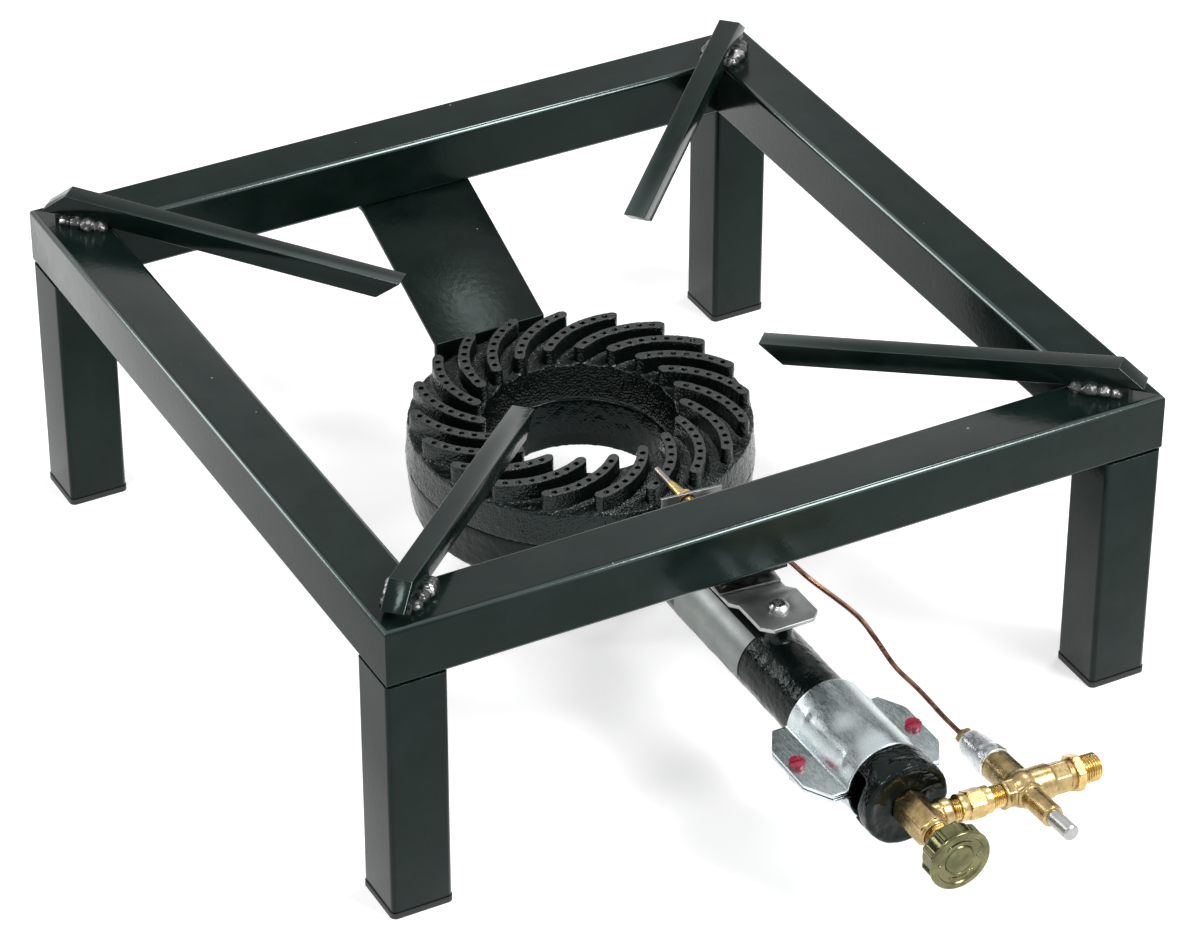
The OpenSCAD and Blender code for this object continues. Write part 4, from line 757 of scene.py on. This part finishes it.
def mixer_pipe():
    """The pipe and its drum as two tubes, one in the other, joined round the windows and the ends.

    Rows run along Y and columns round the axis. The outer radius steps up to the drum by
    t*t*(3-2t), and the upper side is held under the neck's slope. A side of a face that no other
    face runs the other way is free, and there the two tubes are joined.
    """
    y = np.concatenate([np.linspace(-50, -281.5, 60),
                        [-283, -285, -287, -289, DRUM_BACK, -290.3, -290.8, -291.6, -293, -295,
                         -297, -299.5, -300.4]])[:, None]
    step = np.clip((DRUM_BACK - y) / 0.8, 0, 1)
    drum = PIPE_R + (HEAD_R - PIPE_R) * step**2 * (3 - 2 * step)
    window = math.asin(WINDOW_HALF / PIPE_R)
    beside = np.linspace(-window, window, 9)
    over = np.linspace(window, math.pi - window, 17)[1:-1]
    a = np.concatenate([beside, over, beside + math.pi, over + math.pi])
    rows, columns = len(y), len(a)

    def wall(radius, slack):
        x, z = radius * np.cos(a), PIPE_Z + radius * np.sin(a)
        slope = SEAM_Z - slack + np.clip((-88.5 - y) / 24, 0, 1) * 14.0
        return np.stack(np.broadcast_arrays(x, y, np.minimum(z, slope)), -1).reshape(-1, 3)

    open_row = (y[:-1] < WINDOW_BACK) & (y[:-1] > WINDOW_FRONT)
    centre = (a + np.roll(a, -1)) / 2
    centre[-1] = a[-1] + 0.05
    open_column = np.abs(np.sin(centre)) < math.sin(window) - 1e-6
    kept = quads(rows, columns, True)[~(open_row & open_column).reshape(-1)]
    size = rows * columns
    p, q = kept.reshape(-1), np.roll(kept, -1, axis=1).reshape(-1)
    free = ~np.isin(p * size + q, q * size + p)
    rim = np.stack([q, p, p + size, q + size], axis=1)[free]
    return outward((np.concatenate([wall(drum, 0), wall(PIPE_BORE, 4)]),
                    np.concatenate([kept, kept[:, ::-1] + size, rim])))


def pipe_head():
    """The front of the drum: a disc with a dished face and a hole for the tap."""
    profile = [[6.6, 9.4], [19.4, 9.4], [20.6, 8.4], [20.95, 7.2], [20.95, 1.0], [19.9, 0.0],
               [17.8, 0.0], [16.6, 0.9], [10.6, 1.3], [9.4, 0.4], [6.6, 0.4], [6.6, 9.4]]
    return facing_y(lathe(profile, 120, [0, .3, .4, .4, .8, .8, .6, .8, .8, .4, .2, 0]), 0, HEAD_Y)


def plate_boss():
    """The round boss on the pipe under the mounting plate."""
    return facing_z(lathe([[0, 60], [6.9, 60], [6.7, 84], [6.5, 97.9], [0, 97.9]], 48,
                          [0, 0, 1, .4, 0]), -193)


def foot_boss():
    """The boss on the trough's floor for the strap's bolt."""
    return facing_z(lathe([[0, 47.2], [7.5, 47.2], [7.5, 58], [0, 58]], 32), 61.75)


def body_rough(p):
    """Lumps and grit of the casting in mm, coarser on the drum.

    The seats of the plate, the strap and the crown stay flat, and the skin under the label is
    nearly smooth.
    """
    lump = noise(p, 2.3, 3, 3) * 0.30 + noise(p, 9, 12) * 0.18
    lump = lump * (1 + 0.5 * np.clip((-p[:, 1] - 289) / 14, 0, 1))
    seat = (p[:, 2] > PLATE_SEAT_Z) | (p[:, 2] < STRAP_SEAT_Z) | (np.abs(p[:, 2] - SEAM_Z) < 0.5)
    label = (np.abs(p[:, 1] - LABEL_Y) < 31) & (p[:, 2] > PIPE_Z)
    return np.where(seat, 0, np.where(label, lump * 0.15 - 0.1, lump - 0.12))


body_shells = join(ring_shell(), mixer_pipe(), pipe_head(), plate_boss(), foot_boss())
cast_piece("burner_body_cast", body_shells, "stove", PIPE_PAINT, ["burner_body"],
           1.15, 3, body_rough)


# Air shutter

SLEEVE_R, SLEEVE_DROP, SHEET_T = 19.2, 0.9, 1.6
SLEEVE_FRONT, SLEEVE_BACK = -290, -236
EAR_ROOT, EAR_SLANT_FROM, EAR_TIP = 20.6, 27.4, 34.9
# Dents of a sleeve: x, y, depth outwards and width
DENTS = ((-9, -268, -0.6, 5), (6, -249, -0.5, 6), (-15.5, -246, 0.6, 1.3),
         (-15.9, -280, 0.6, 1.3), (15.8, -247, 0.6, 1.3), (15.9, -281, 0.6, 1.3),
         (0, -279, 0.35, 9))


def shutter_half(up):
    """One half sleeve: its section runs ear, arc, ear, and its rows run from front to back.

    Both ends of a row stand back by 12.5*(|x| - 27.4)/7.4 on the slant of the ears, and by
    0.8*t*t over the last 1 mm before the tip.
    """
    angles = np.linspace(math.radians(174), math.radians(6), 61)
    arc = np.stack([SLEEVE_R * np.cos(angles), SLEEVE_R * np.sin(angles) - SLEEVE_DROP], 1)
    line = np.concatenate([np.linspace([-EAR_TIP, 0], [-EAR_ROOT, 0], 18), arc,
                           np.linspace([EAR_ROOT, 0], [EAR_TIP, 0], 18)])
    bend = arc_corners(line, np.where(np.abs(np.abs(line[:, 0]) - EAR_ROOT) < 0.01, 2.0, 0), 5)
    x, z = bend[:, 0], bend[:, 1]
    back = np.clip(np.abs(x) - EAR_SLANT_FROM, 0, None) * 12.5 / 7.4
    back = back + 0.8 * np.clip(np.abs(x) - EAR_TIP + 1, 0, 1) ** 2
    t = np.linspace(0, 1, 45)[:, None]
    y = (SLEEVE_FRONT + back) * (1 - t) + (SLEEVE_BACK - back) * t
    flat = np.stack(np.broadcast_arrays(x, y, z), -1).reshape(-1, 3)
    on_arc = np.clip((20.5 - np.abs(flat[:, 0])) / 3, 0, 1)
    dent = noise(flat * [1, 0.6, 1], 15, 21, 2) * 0.42 * on_arc
    for px, py, depth, width in DENTS:
        d2 = (flat[:, 0] - px) ** 2 + (flat[:, 1] - py) ** 2
        dent += depth * np.exp(-d2 / (2 * width**2)) * on_arc
    radial = (flat + [0, 0, SLEEVE_DROP]) * [1, 0, 1]
    radial /= np.maximum(np.linalg.norm(radial, axis=1, keepdims=True), 1e-9)
    flat = flat + radial * (dent * np.where(dent < 0, 0.6, 1))[:, None]
    ear_wave = noise(flat, 18, 5) * 0.12 * (1 - on_arc)
    flat[:, 2] = flat[:, 2] + 1.1 + ear_wave
    flat[:, 2] = PIPE_Z + (flat[:, 2] if up else -flat[:, 2])
    return flat, quads(len(t), len(x))


for side_name, node_name in (("top", "air_shutter_upper"), ("bottom", "air_shutter_lower")):
    sleeve = piece(f"air_shutter_{side_name}_sheet", shutter_half(side_name == "top"),
                   "air_shutter", ZINC_SHEET, [node_name], sharp=50)
    wall = sleeve.modifiers.new("Wall", "SOLIDIFY")
    wall.thickness, wall.offset, wall.use_even_offset = SHEET_T / 1000, 0, True
    ease = sleeve.modifiers.new("Eased edge", "BEVEL")
    ease.width, ease.segments, ease.limit_method = 0.25 / 1000, 2, "ANGLE"
    ease.angle_limit = math.radians(60)


# Gas tap and handwheel


THREAD_R, THREAD_PITCH = 5.3, 1.0  # of the two brass stubs that the coupling joins


def tap_shells():
    """Forged tap body: hexagon bar, front collar, side arm and its flange."""
    bar = facing_y(lathe([[0, 0], [9, 0], [9, 22], [0, 22]], 120, [0, .6, .8, 0],
                         wave=flats(15)), 0, TAP_FRONT + 2.5)
    collar = facing_y(lathe([[0, 0], [7.2, 0], [7.2, 6], [0, 6]], 72, [0, .5, 0, 0]),
                      0, TAP_FRONT)
    arm = facing_x(lathe([[0, 0], [6.3, 0], [6.3, 9.4], [0, 9.4]], 72), 0)
    flange = facing_x(lathe([[0, 0], [7, 0], [7, 4.4], [6.1, 5.7], [0, 5.7]], 72,
                            [0, .5, .5, .4, 0]), 8.2)
    return join(bar, collar, arm, flange)


def brass_rough(p):
    """Slight waves of a forging."""
    return noise(p, 5.0, 17, 2) * 0.06


cast_piece("tap_forging", tap_turn(tap_shells()), "stove", CAST_BRASS, ["tap_body"],
           0.35, 4, brass_rough)
tap_stub = facing_x(screw_thread(THREAD_R, THREAD_PITCH, 11.2), 13.8)
piece("tap_stub_thread", tap_turn(tap_stub), "stove", GOLD_BRASS)


def coupling_nut_shape():
    """The nut's profile with extra rings along its hexagon, so that the cone shows."""
    profile = [[5.4, 0], [6.1, 0], [6.5, 0.4], [6.5, 3.6], [6.3, 4.0]]
    profile += [[7.6, h] for h in np.linspace(4.2, 12.0, 18)]
    profile += [[6.3, 12.2], [6.5, 12.6], [6.5, 15.8], [6.1, 16.2], [5.4, 16.2], [5.4, 0]]
    return lathe(profile, 96, wave=chamfered(13, 4.0, 12.2, 6.5, 1.7))


piece("coupling_nut_turned", tap_turn(facing_x(coupling_nut_shape(), 17.9)), "stove",
      BRASS, ["coupling_nut"], sharp=30)

WHEEL_BACK = -342.0
WHEEL_FACE, MARK_R, MARK_H = 10.0, 9.45, 0.45
WHEEL_SIDES = 240


def wheel_face():
    """Face of the wheel on a polar grid: rolled rim, sunk face, ring groove, arrows and signs.

    Height at (r, angle) is the face's level plus raised marks: two arcs with arrow heads,
    a plus on one side and a minus on the other.
    """
    r = np.concatenate([[0.001], np.linspace(0.6, 12.6, 62), 12.6 + 1.2 * np.linspace(0, 1, 6)[1:]])
    rr, aa = np.meshgrid(r, around(WHEEL_SIDES), indexing="ij")
    x, y = rr * np.cos(aa), rr * np.sin(aa)
    mark = np.zeros_like(rr, bool)
    for turn in (90, 270):
        off = (np.degrees(aa) - turn + 180) % 360 - 180
        arc = (np.abs(rr - MARK_R) < 0.5) & (np.abs(off) < 31)
        along = np.radians(off - 31) * MARK_R
        head = (along > 0) & (along < 2.6) & (np.abs(rr - MARK_R) < 1.3 * (1 - along / 2.6))
        mark = mark | arc | head
    for centre in (MARK_R, -MARK_R):
        mark = mark | ((np.abs(x - centre) < 1.3) & (np.abs(y) < 0.45))
    mark = mark | ((np.abs(x - MARK_R) < 0.45) & (np.abs(y) < 1.3))
    groove = np.exp(-((rr - 7.15) / 0.4) ** 2) * 0.6
    swell = np.exp(-((rr - 6.1) / 0.9) ** 2) * 0.12
    rim = np.clip((rr - 11.2) / 1.0, 0, 1)
    height = WHEEL_FACE + MARK_H * mark - groove + swell
    return rings(rr, aa, height + rim**2 * (3 - 2 * rim) * 0.95)


def handwheel_shape():
    """The cast cup: the face grid, the rolled rim, the skirt with nine fins and the inside."""
    a = around(WHEEL_SIDES)
    rows = [wheel_face()]
    for t in np.linspace(0, 1, 9)[1:]:
        bend = t * math.pi
        rows.append(rings(13.8 + 1.2 * math.sin(bend), a, 9.8 + 1.2 * math.cos(bend))[None])
    fin = (np.cos(a * 9) * 0.5 + 0.5) ** 5
    for z in np.linspace(8.4, 0.4, 12):
        rows.append(rings(13.1 + 1.55 * fin * min(1, (z + 1.2) / 2.4), a, z)[None])
    for r, z in ((13.0, 0.0), (12.0, 0.0), (11.6, 0.5), (11.6, 6.6), (10.9, 7.2), (5.0, 7.2),
                 (4.6, 6.8), (4.6, 1.0), (4.2, 0.6), (2.7, 0.6), (2.6, 7.0), (0.001, 7.0)):
        rows.append(rings(r, a, z)[None])
    v, f = outward(sheet(np.concatenate(rows), True))
    v = v + vertex_normals(v, f) * (noise(v, 2.6, 2, 2) * 0.018)[:, None]
    return outward((np.stack([v[:, 0], WHEEL_BACK - v[:, 2], PIPE_Z + v[:, 1]], 1), f))


piece("handwheel_cast", handwheel_shape(), "handwheel_and_spindle", OLIVE,
      ["handwheel"], sharp=45)


# Safety valve


def valve_shells():
    """Cast cross: barrel behind, hexagon and guide in front, collar and arm left, inlet right."""
    x = VALVE_X
    sphere = [[8.7 * math.sin(t), -8.7 * math.cos(t)] for t in np.linspace(0, math.pi, 25)]
    barrel = facing_y(lathe([[0, 0], [7.6, 0], [7.6, 21.5], [0, 21.5]], 96), x, TAP_Y)
    ball = facing_y(lathe(sphere, 96), x, TAP_Y)
    front = facing_y(lathe([[0, 0], [8, 0], [8, 7.7], [0, 7.7]], 96, [0, .6, .6, 0],
                           wave=flats(12.4)), x, TAP_Y - 7.7)
    guide = facing_y(lathe([[0, 0], [3.9, 0], [4.6, 0], [5.3, 0.7], [5.3, 25], [0, 25]], 96,
                           [0, 0, .2, .3, 0, 0]), x, TAP_Y - 25.8)
    collar = facing_x(lathe([[0, 0], [6.9, 0], [6.9, 1.8], [0, 1.8]], 96, [0, .5, .4, 0]), 40.4)
    arm = facing_x(lathe([[0, 0], [8, 0], [8, 11], [0, 11]], 96, wave=flats(12.4)), 41.4)
    boss = facing_x(lathe([[0, 0], [8.2, 0], [8.2, 13.4], [7.0, 14.4], [0, 14.4]], 96,
                          [0, 0, .6, .4, 0]), x)
    end = facing_x(lathe([[0, 0], [9, 0], [9, 9.6], [0, 9.6]], 96, [0, .5, .6, 0],
                         wave=flats(14)), 64.5)
    return join(barrel, ball, front, guide, collar, arm, boss, end)


cast_piece("valve_casting", valve_turn(valve_shells()), "stove", CAST_BRASS,
           ["valve_body"], 0.4, 3, brass_rough)
valve_stub = facing_x(screw_thread(THREAD_R, THREAD_PITCH, 14.0), 27.4)
piece("valve_arm_thread", valve_turn(valve_stub), "stove", GOLD_BRASS)


def inlet_hexagon():
    """Hexagon of the inlet adapter with turned chamfers."""
    rows = [[9.3, h] for h in np.linspace(0, 4.2, 10)]
    return lathe([[0.01, 0], [6.9, 0]] + rows + [[6.9, 4.2], [0.01, 4.2]], 96,
                 wave=chamfered(16, 0, 4.2, 8.2, 1.6, 0.1))


def threaded_inlet():
    """Thread with an open bored end; the grid's rows run out over the thread and back in."""
    radius, pitch, length = 6.58, 1.337, 9.9
    h, a = np.linspace(0, length, 68)[:, None], around(84)[None, :]
    r = np.minimum(thread(radius, 0.75, pitch, h, a),
                   radius - np.clip(0.9 - (length - h), 0, 1) * 1.1)
    bore = ((4.6, length), (3.9, length), (3.5, length - 0.4), (3.5, 1.0), (0.01, 1.0))
    rows = [rings(r, a, h)] + [rings(inner, a, height) for inner, height in bore]
    return outward(sheet(np.concatenate(rows), True))


inlet = join(facing_x(inlet_hexagon(), 76.7), facing_x(threaded_inlet(), 80.9))
piece("inlet_adapter_turned", valve_turn(inlet), "stove", GOLD_BRASS,
      ["inlet_adapter"], sharp=28)


def button_shape():
    """The push button: a turned pin with a chamfer."""
    profile = [[0, 0], [3.1, 0], [3.8, 0.7], [3.8, 30], [0, 30]]
    return facing_y(lathe(profile, 72, [0, .1, .1, 0, 0]), VALVE_X, TAP_Y - 40.6)


piece("push_button_turned", valve_turn(button_shape()), "push_button", ALUMINIUM,
      ["push_button"], sharp=30)


def magnet_cap_shape():
    """Zinc cap: two steps of a taper with shallow facets and a sharp front rim."""

    def wave(r, a, h):
        facet = flats(16.2, 10, 0.1, 1.0)(np.full_like(r, 20.0), a, h)
        level = np.clip((h - 6.5) / 1.5, 0, 1)
        return np.where(r > 5, np.minimum(r, facet * (1 - level) + 20 * level), r)

    profile = [[0.01, 0], [7.6, 0], [8.65, 0.5], [8.65, 1.6], [8.3, 2.2], [8.1, 5.5], [7.6, 8.0],
               [7.2, 12], [6.8, 18.6], [6.6, 20.4], [6.0, 22.0], [5.4, 22.3], [0.01, 22.3]]
    line = arc_corners(profile, [0, .2, .3, .4, .6, 1, 1, 1, 1, .6, .4, .2, 0], 4)
    return facing_y(lathe(line, 120, wave=wave), VALVE_X, TAP_Y + 21.5)


piece("magnet_cap_cast", valve_turn(magnet_cap_shape()), "stove", CAP_ZINC,
      ["magnet_cap"], sharp=32)


# Thermocouple lead

LEAD_R = 1.25
LEAD_ROUTE = np.array([
    [51.6, -270.5, 61.8], [51.9, -262, 61.1], [52.4, -250.8, 60.2], [52.5, -230, 61],
    [52.4, -210, 60.8], [52, -192, 65.8], [50.8, -176, 69], [42.3, -151, 74.8],
    [36.5, -141, 81.2], [27, -132.5, 91.1], [15, -125, 100.3], [6, -116, 102.6],
    [3, -109.5, 102.3]])


def smooth_route(points, steps):
    """Catmull-Rom curve through the route's points."""
    p = np.concatenate([points[:1], points, points[-1:]])
    t = (np.arange(steps) / steps)[None, :, None]
    a, b, c, d = p[:-3, None], p[1:-2, None], p[2:-1, None], p[3:, None]
    curve = 0.5 * (2 * b + (c - a) * t + (2 * a - 5 * b + 4 * c - d) * t**2
                   + (3 * b - a - 3 * c + d) * t**3)
    return np.concatenate([curve.reshape(-1, 3), points[-1:]])


def tube(path, radius, sides=20):
    """Round tube along a path: rings stand square to it, and each end is drawn to a point."""
    run = np.gradient(path, axis=0)
    run /= np.linalg.norm(run, axis=1, keepdims=True)
    side = np.cross(run, [0, 0, 1.0])
    side /= np.linalg.norm(side, axis=1, keepdims=True)
    up = np.cross(side, run)
    b = around(sides)[None, :, None]
    hoops = path[:, None] + radius * (np.cos(b) * side[:, None] + np.sin(b) * up[:, None])
    first, last = (path[[k]][:, None] + 0 * hoops[:1] for k in (0, -1))
    return outward(sheet(np.concatenate([first, hoops, last]), True))


lead_path = smooth_route(LEAD_ROUTE, 14)
lead_path[5:-5] += np.stack([noise(lead_path[5:-5], 22, 40 + k) * 0.25 for k in range(3)], 1)
piece("thermocouple_lead_drawn", tube(lead_path, LEAD_R), "stove", COPPER,
      ["thermocouple_lead"])


# Weld beads


BEAD_R, BEAD_STEP, FILL_LEN = 4.15, 6, 24
# Each drop beside a bar: how far out, how high, and how big it is
DROPS = ((0.55, 0.15, 0.95), (0.75, 0.3, 1.1), (0.6, 0.25, 1.0), (0.35, 0.1, 0.85))


def bead(centre, radius, seed):
    """A drop of weld: a squashed ball whose radius swells and sinks by noise."""
    t = np.linspace(0, math.pi, 25)[:, None]
    flat, faces = sheet(rings(np.sin(t), around(40)[None, :], np.cos(t)), True)
    r = radius * (1 + 0.16 * noise(flat * 3, 2.0, seed, 2))
    return outward((flat * r[:, None] * [1.05, 1.0, 0.85] + centre, faces))


def weld_cluster(turn, seed):
    """The drops on both sides of one bar, and the fill under it, turned to its corner."""
    start = RAIL_IN * math.sqrt(2) + 2.1
    rng = np.random.default_rng(seed)
    parts = []
    for side in (-1, 1):
        for i, (out, lift, size) in enumerate(DROPS):
            jog = rng.uniform(-0.25, 0.25, 3)
            centre = [start + i * BEAD_STEP + jog[0],
                      side * (BAR_W / 2 + out * 2.1) + jog[1], FRAME_H + lift * 4.2]
            parts.append(bead(centre, BEAD_R * size * (1 + 0.1 * jog[2]), seed + 9 * i))
    end, rise = start + FILL_LEN, FILL_LEN * math.tan(BAR_TILT)
    low, high = FRAME_H - 0.4, FRAME_H + 1.4
    x, z = np.array([[start, low], [end, low], [end, high + rise], [start, high]]).T
    y = np.linspace(-5.9, 5.9, 3)[:, None]
    block = np.stack(np.broadcast_arrays(x, y, z), -1)
    middle = block.mean(axis=1, keepdims=True) * np.ones((1, 4, 1))
    parts.append(outward(sheet(np.concatenate([middle[:1], block, middle[-1:]]), True)))
    v, f = join(*parts)
    v[:, 2] = np.maximum(v[:, 2], FRAME_H - 0.1)
    return turned((v, f), (0, 0, 1), math.radians(turn), np.zeros(3))


def weld_finish():
    """Paint over a weld, with random patches of bright metal painted in as glints on the drops."""
    material, tree, shader, vector = finish_of("weld_paint")
    s = skin(tree, CAST_SKIN, vector, Size=0.6)
    # Painted glints: random patches of bright metal stand in for the drops' silvery glints.
    painted_glint_patches = times(tree, band(tree, grain(tree, vector, 120.0, 3.0, 0.6), 0.54, 0.62), 0.9)
    fill(tree, shader, {
        "Base Color": mixed(tree, painted_glint_patches, (0.014, 0.018, 0.017), (0.42, 0.42, 0.41)),
        "Metallic": painted_glint_patches,
        "Roughness": band(tree, s["Height"], 0.3, 0.6, 0.14, 0.36),
        "Coat Weight": 0.4, "Coat Roughness": 0.1,
        "Normal": bump(tree, s["Height"], 0.3, 0.0008)})
    return material


piece("weld_beads", join(*(weld_cluster(45 + 90 * k, 11 + 7 * k) for k in range(4))), "stove",
      weld_finish(), ["pot_bar_welds"], sharp=50)


# Solids that stay, dressed


# Lacquer covers the screw's head but for its front, from LACQUER_Z up, in metres
SCREW_Y, LACQUER_Z = -263, 0.0688


def lacquered_screw():
    """Zinc-plated screw whose slotted head is partly covered with red lacquer."""
    material, tree, shader, vector = finish_of("red_lacquered_zinc")
    s = skin(tree, METAL_SKIN, vector, Stretch=(1, 1, 1), Size=2.0)
    axes = add(tree, "ShaderNodeSeparateXYZ", {"Vector": vector}).outputs
    edge = plus(tree, axes["Y"], times(tree, grain(tree, vector, 300.0, 2.0, 0.6), 0.004))
    side = band(tree, edge, (SHIFT + SCREW_Y - 3.2) / 1000, (SHIFT + SCREW_Y - 2.2) / 1000)
    mask = times(tree, side, band(tree, axes["Z"], LACQUER_Z, LACQUER_Z + 0.0004))
    tone = mixed(tree, band(tree, s["Cloud"], 0.35, 0.65), (0.42, 0.43, 0.44), (0.66, 0.66, 0.66))
    red = mixed(tree, s["Cloud"], (0.20, 0.006, 0.02), (0.32, 0.02, 0.05))
    fill(tree, shader, {
        "Base Color": mixed(tree, mask, tone, red),
        "Metallic": math_node(tree, "SUBTRACT", 1.0, mask),
        "Roughness": band(tree, s["Scratches"], 0.3, 0.7, 0.18, 0.34),
        "Normal": bump(tree, s["Height"], 0.1, 0.0006)})
    return material


FINISH_OF_SLOT = {
    "frame_paint": PAINT, "cap_plastic": CAP_PLASTIC, "cast_burner": PIPE_PAINT, "label_foil": FOIL,
    "zinc_sheet": ZINC_SHEET, "zinc_hardware": ZINC, "dark_steel": DARK_STEEL,
    "polished_steel": STEEL, "brass": BRASS, "olive_brass": OLIVE, "copper": COPPER,
    "aluminium": ALUMINIUM, "rubber": RUBBER}
FINISH_OF_NODE = {"rear_support_strap": SHADED_STRAP_PAINT, "shutter_screws": lacquered_screw(),
                  "thermocouple_bracket": BRACKET_STEEL, "inlet_seal": SEALING_WASHER,
                  "thermocouple_tip": HEATED_STEEL}
slot_of = {row["node"]: row["material_slot"] for row in frame["record"]["subparts"]}
# Width in mm of the eased edge of each solid whose name starts so
SOFT_EDGES = {
    "pot_bar": 0.5, "mounting": 0.35, "thermocouple_bracket": 0.25, "front_support": 0.5,
    "rear_support": 0.5, "rear_strap": 0.3, "foot_cap": 0.5, "plate_screw": 0.3,
    "shutter_screws": 0.25, "shutter_nuts": 0.3, "tap_gland": 0.3, "thermocouple_nut": 0.3,
    "handwheel_screw": 0.2, "leg": 0.05, "rail": 0.05}

for node_name, solid in frame["nodes"].items():
    solid.data.materials.clear()
    solid.data.materials.append(FINISH_OF_NODE.get(node_name, FINISH_OF_SLOT[slot_of[node_name]]))
    width = next((w for key, w in SOFT_EDGES.items() if node_name.startswith(key)), None)
    if width is None or solid.hide_render:
        continue
    solid.data.polygons.foreach_set("use_smooth", [True] * len(solid.data.polygons))
    weld = solid.modifiers.new("Joined faces", "WELD")
    weld.merge_threshold = 1e-6
    ease = solid.modifiers.new("Eased edge", "BEVEL")
    ease.width, ease.segments, ease.limit_method = width / 1000, 3, "ANGLE"
    ease.angle_limit, ease.harden_normals = math.radians(30), True


# Floor, light and camera


def seen_as_white(tree):
    """1 for rays from the camera, from a reflection or through glass, else 0."""
    path = add(tree, "ShaderNodeLightPath")
    seen = math_node(tree, "ADD", path.outputs["Is Camera Ray"], path.outputs["Is Glossy Ray"])
    return math_node(tree, "ADD", seen, path.outputs["Is Transmission Ray"], clamp=True)


def backdrop():
    """Floor of a pale tone that reads as white to the eye of the camera and in reflections."""
    mesh = bpy.data.meshes.new("floor")
    size = 6.0
    mesh.from_pydata([(-size, -size, 0), (size, -size, 0), (size, size, 0), (-size, size, 0)], [],
                     [(0, 1, 2, 3)])
    floor = placed("floor", mesh)
    material, tree, shader, vector = finish_of("pale_floor")
    tone = mixed(tree, grain(tree, vector, 3.0, 2.0, 0.5), (0.80, 0.80, 0.80), (0.84, 0.84, 0.84))
    fill(tree, shader, {
        "Base Color": tone, "Roughness": 0.9, "Specular IOR Level": 0.1,
        "Emission Color": (1, 1, 1, 1), "Emission Strength": times(tree, seen_as_white(tree), 0.5)})
    mesh.materials.append(material)


def world_light():
    """Soft even sky for the object; the camera and clear reflections see it as white."""
    world = bpy.data.worlds.new("studio")
    bpy.context.scene.world = world
    world.use_nodes = True
    tree = world.node_tree
    tree.nodes.clear()
    sky, white = (add(tree, "ShaderNodeBackground", {"Color": (1, 1, 1, 1), "Strength": strength})
                  for strength in (0.36, 1.0))
    mix = add(tree, "ShaderNodeMixShader", {
        0: seen_as_white(tree), 1: sky.outputs[0], 2: white.outputs[0]})
    add(tree, "ShaderNodeOutputWorld", {0: mix.outputs[0]})


def lamp(name, place, aim, size, power):
    """A soft square lamp that looks at a point."""
    light = bpy.data.lights.new(name, "AREA")
    light.shape, light.size, light.energy = "SQUARE", size, power
    obj = placed(name, light)
    obj.location = place
    obj.rotation_euler = (Vector(aim) - Vector(place)).to_track_quat("-Z", "Y").to_euler()


backdrop()
world_light()
lamp("key_softbox", (-1.2, -0.4, 2.2), (0, 0.05, 0.1), 0.45, 14)
lamp("back_softbox", (-1.5, 1.97, 1.1), (0, 0.05, 0.1), 1.1, 20)
lamp("front_softbox", (0.94, -1.34, 1.75), (0, 0, 0.1), 0.95, 40)
lamp("top_softbox", (0.98, 0.42, 1.95), (0, 0, 0.1), 0.4, 8)

# The camera that was fitted to the photograph: focal length and picture width in its pixels,
# place in mm about the burner axis, and turn in degrees
FOCAL_PX, PICTURE_PX, SENSOR = 4733.04, 1200, 36.0
EYE_PLACE, EYE_TURN = (-889.413, -1690.395, 1352.982), (55.974124, -0.082750, -27.981931)

eye = bpy.data.cameras.new("photo_view")
eye.sensor_width, eye.lens = SENSOR, FOCAL_PX / PICTURE_PX * SENSOR
eye.clip_start, eye.clip_end = 0.05, 60
camera = placed("photo_view", eye)
camera.location = [mm / 1000 for mm in (EYE_PLACE[0], EYE_PLACE[1] + SHIFT, EYE_PLACE[2])]
camera.rotation_euler = [math.radians(a) for a in EYE_TURN]
bpy.context.scene.camera = camera
bpy.context.scene.view_settings.view_transform = "Standard"
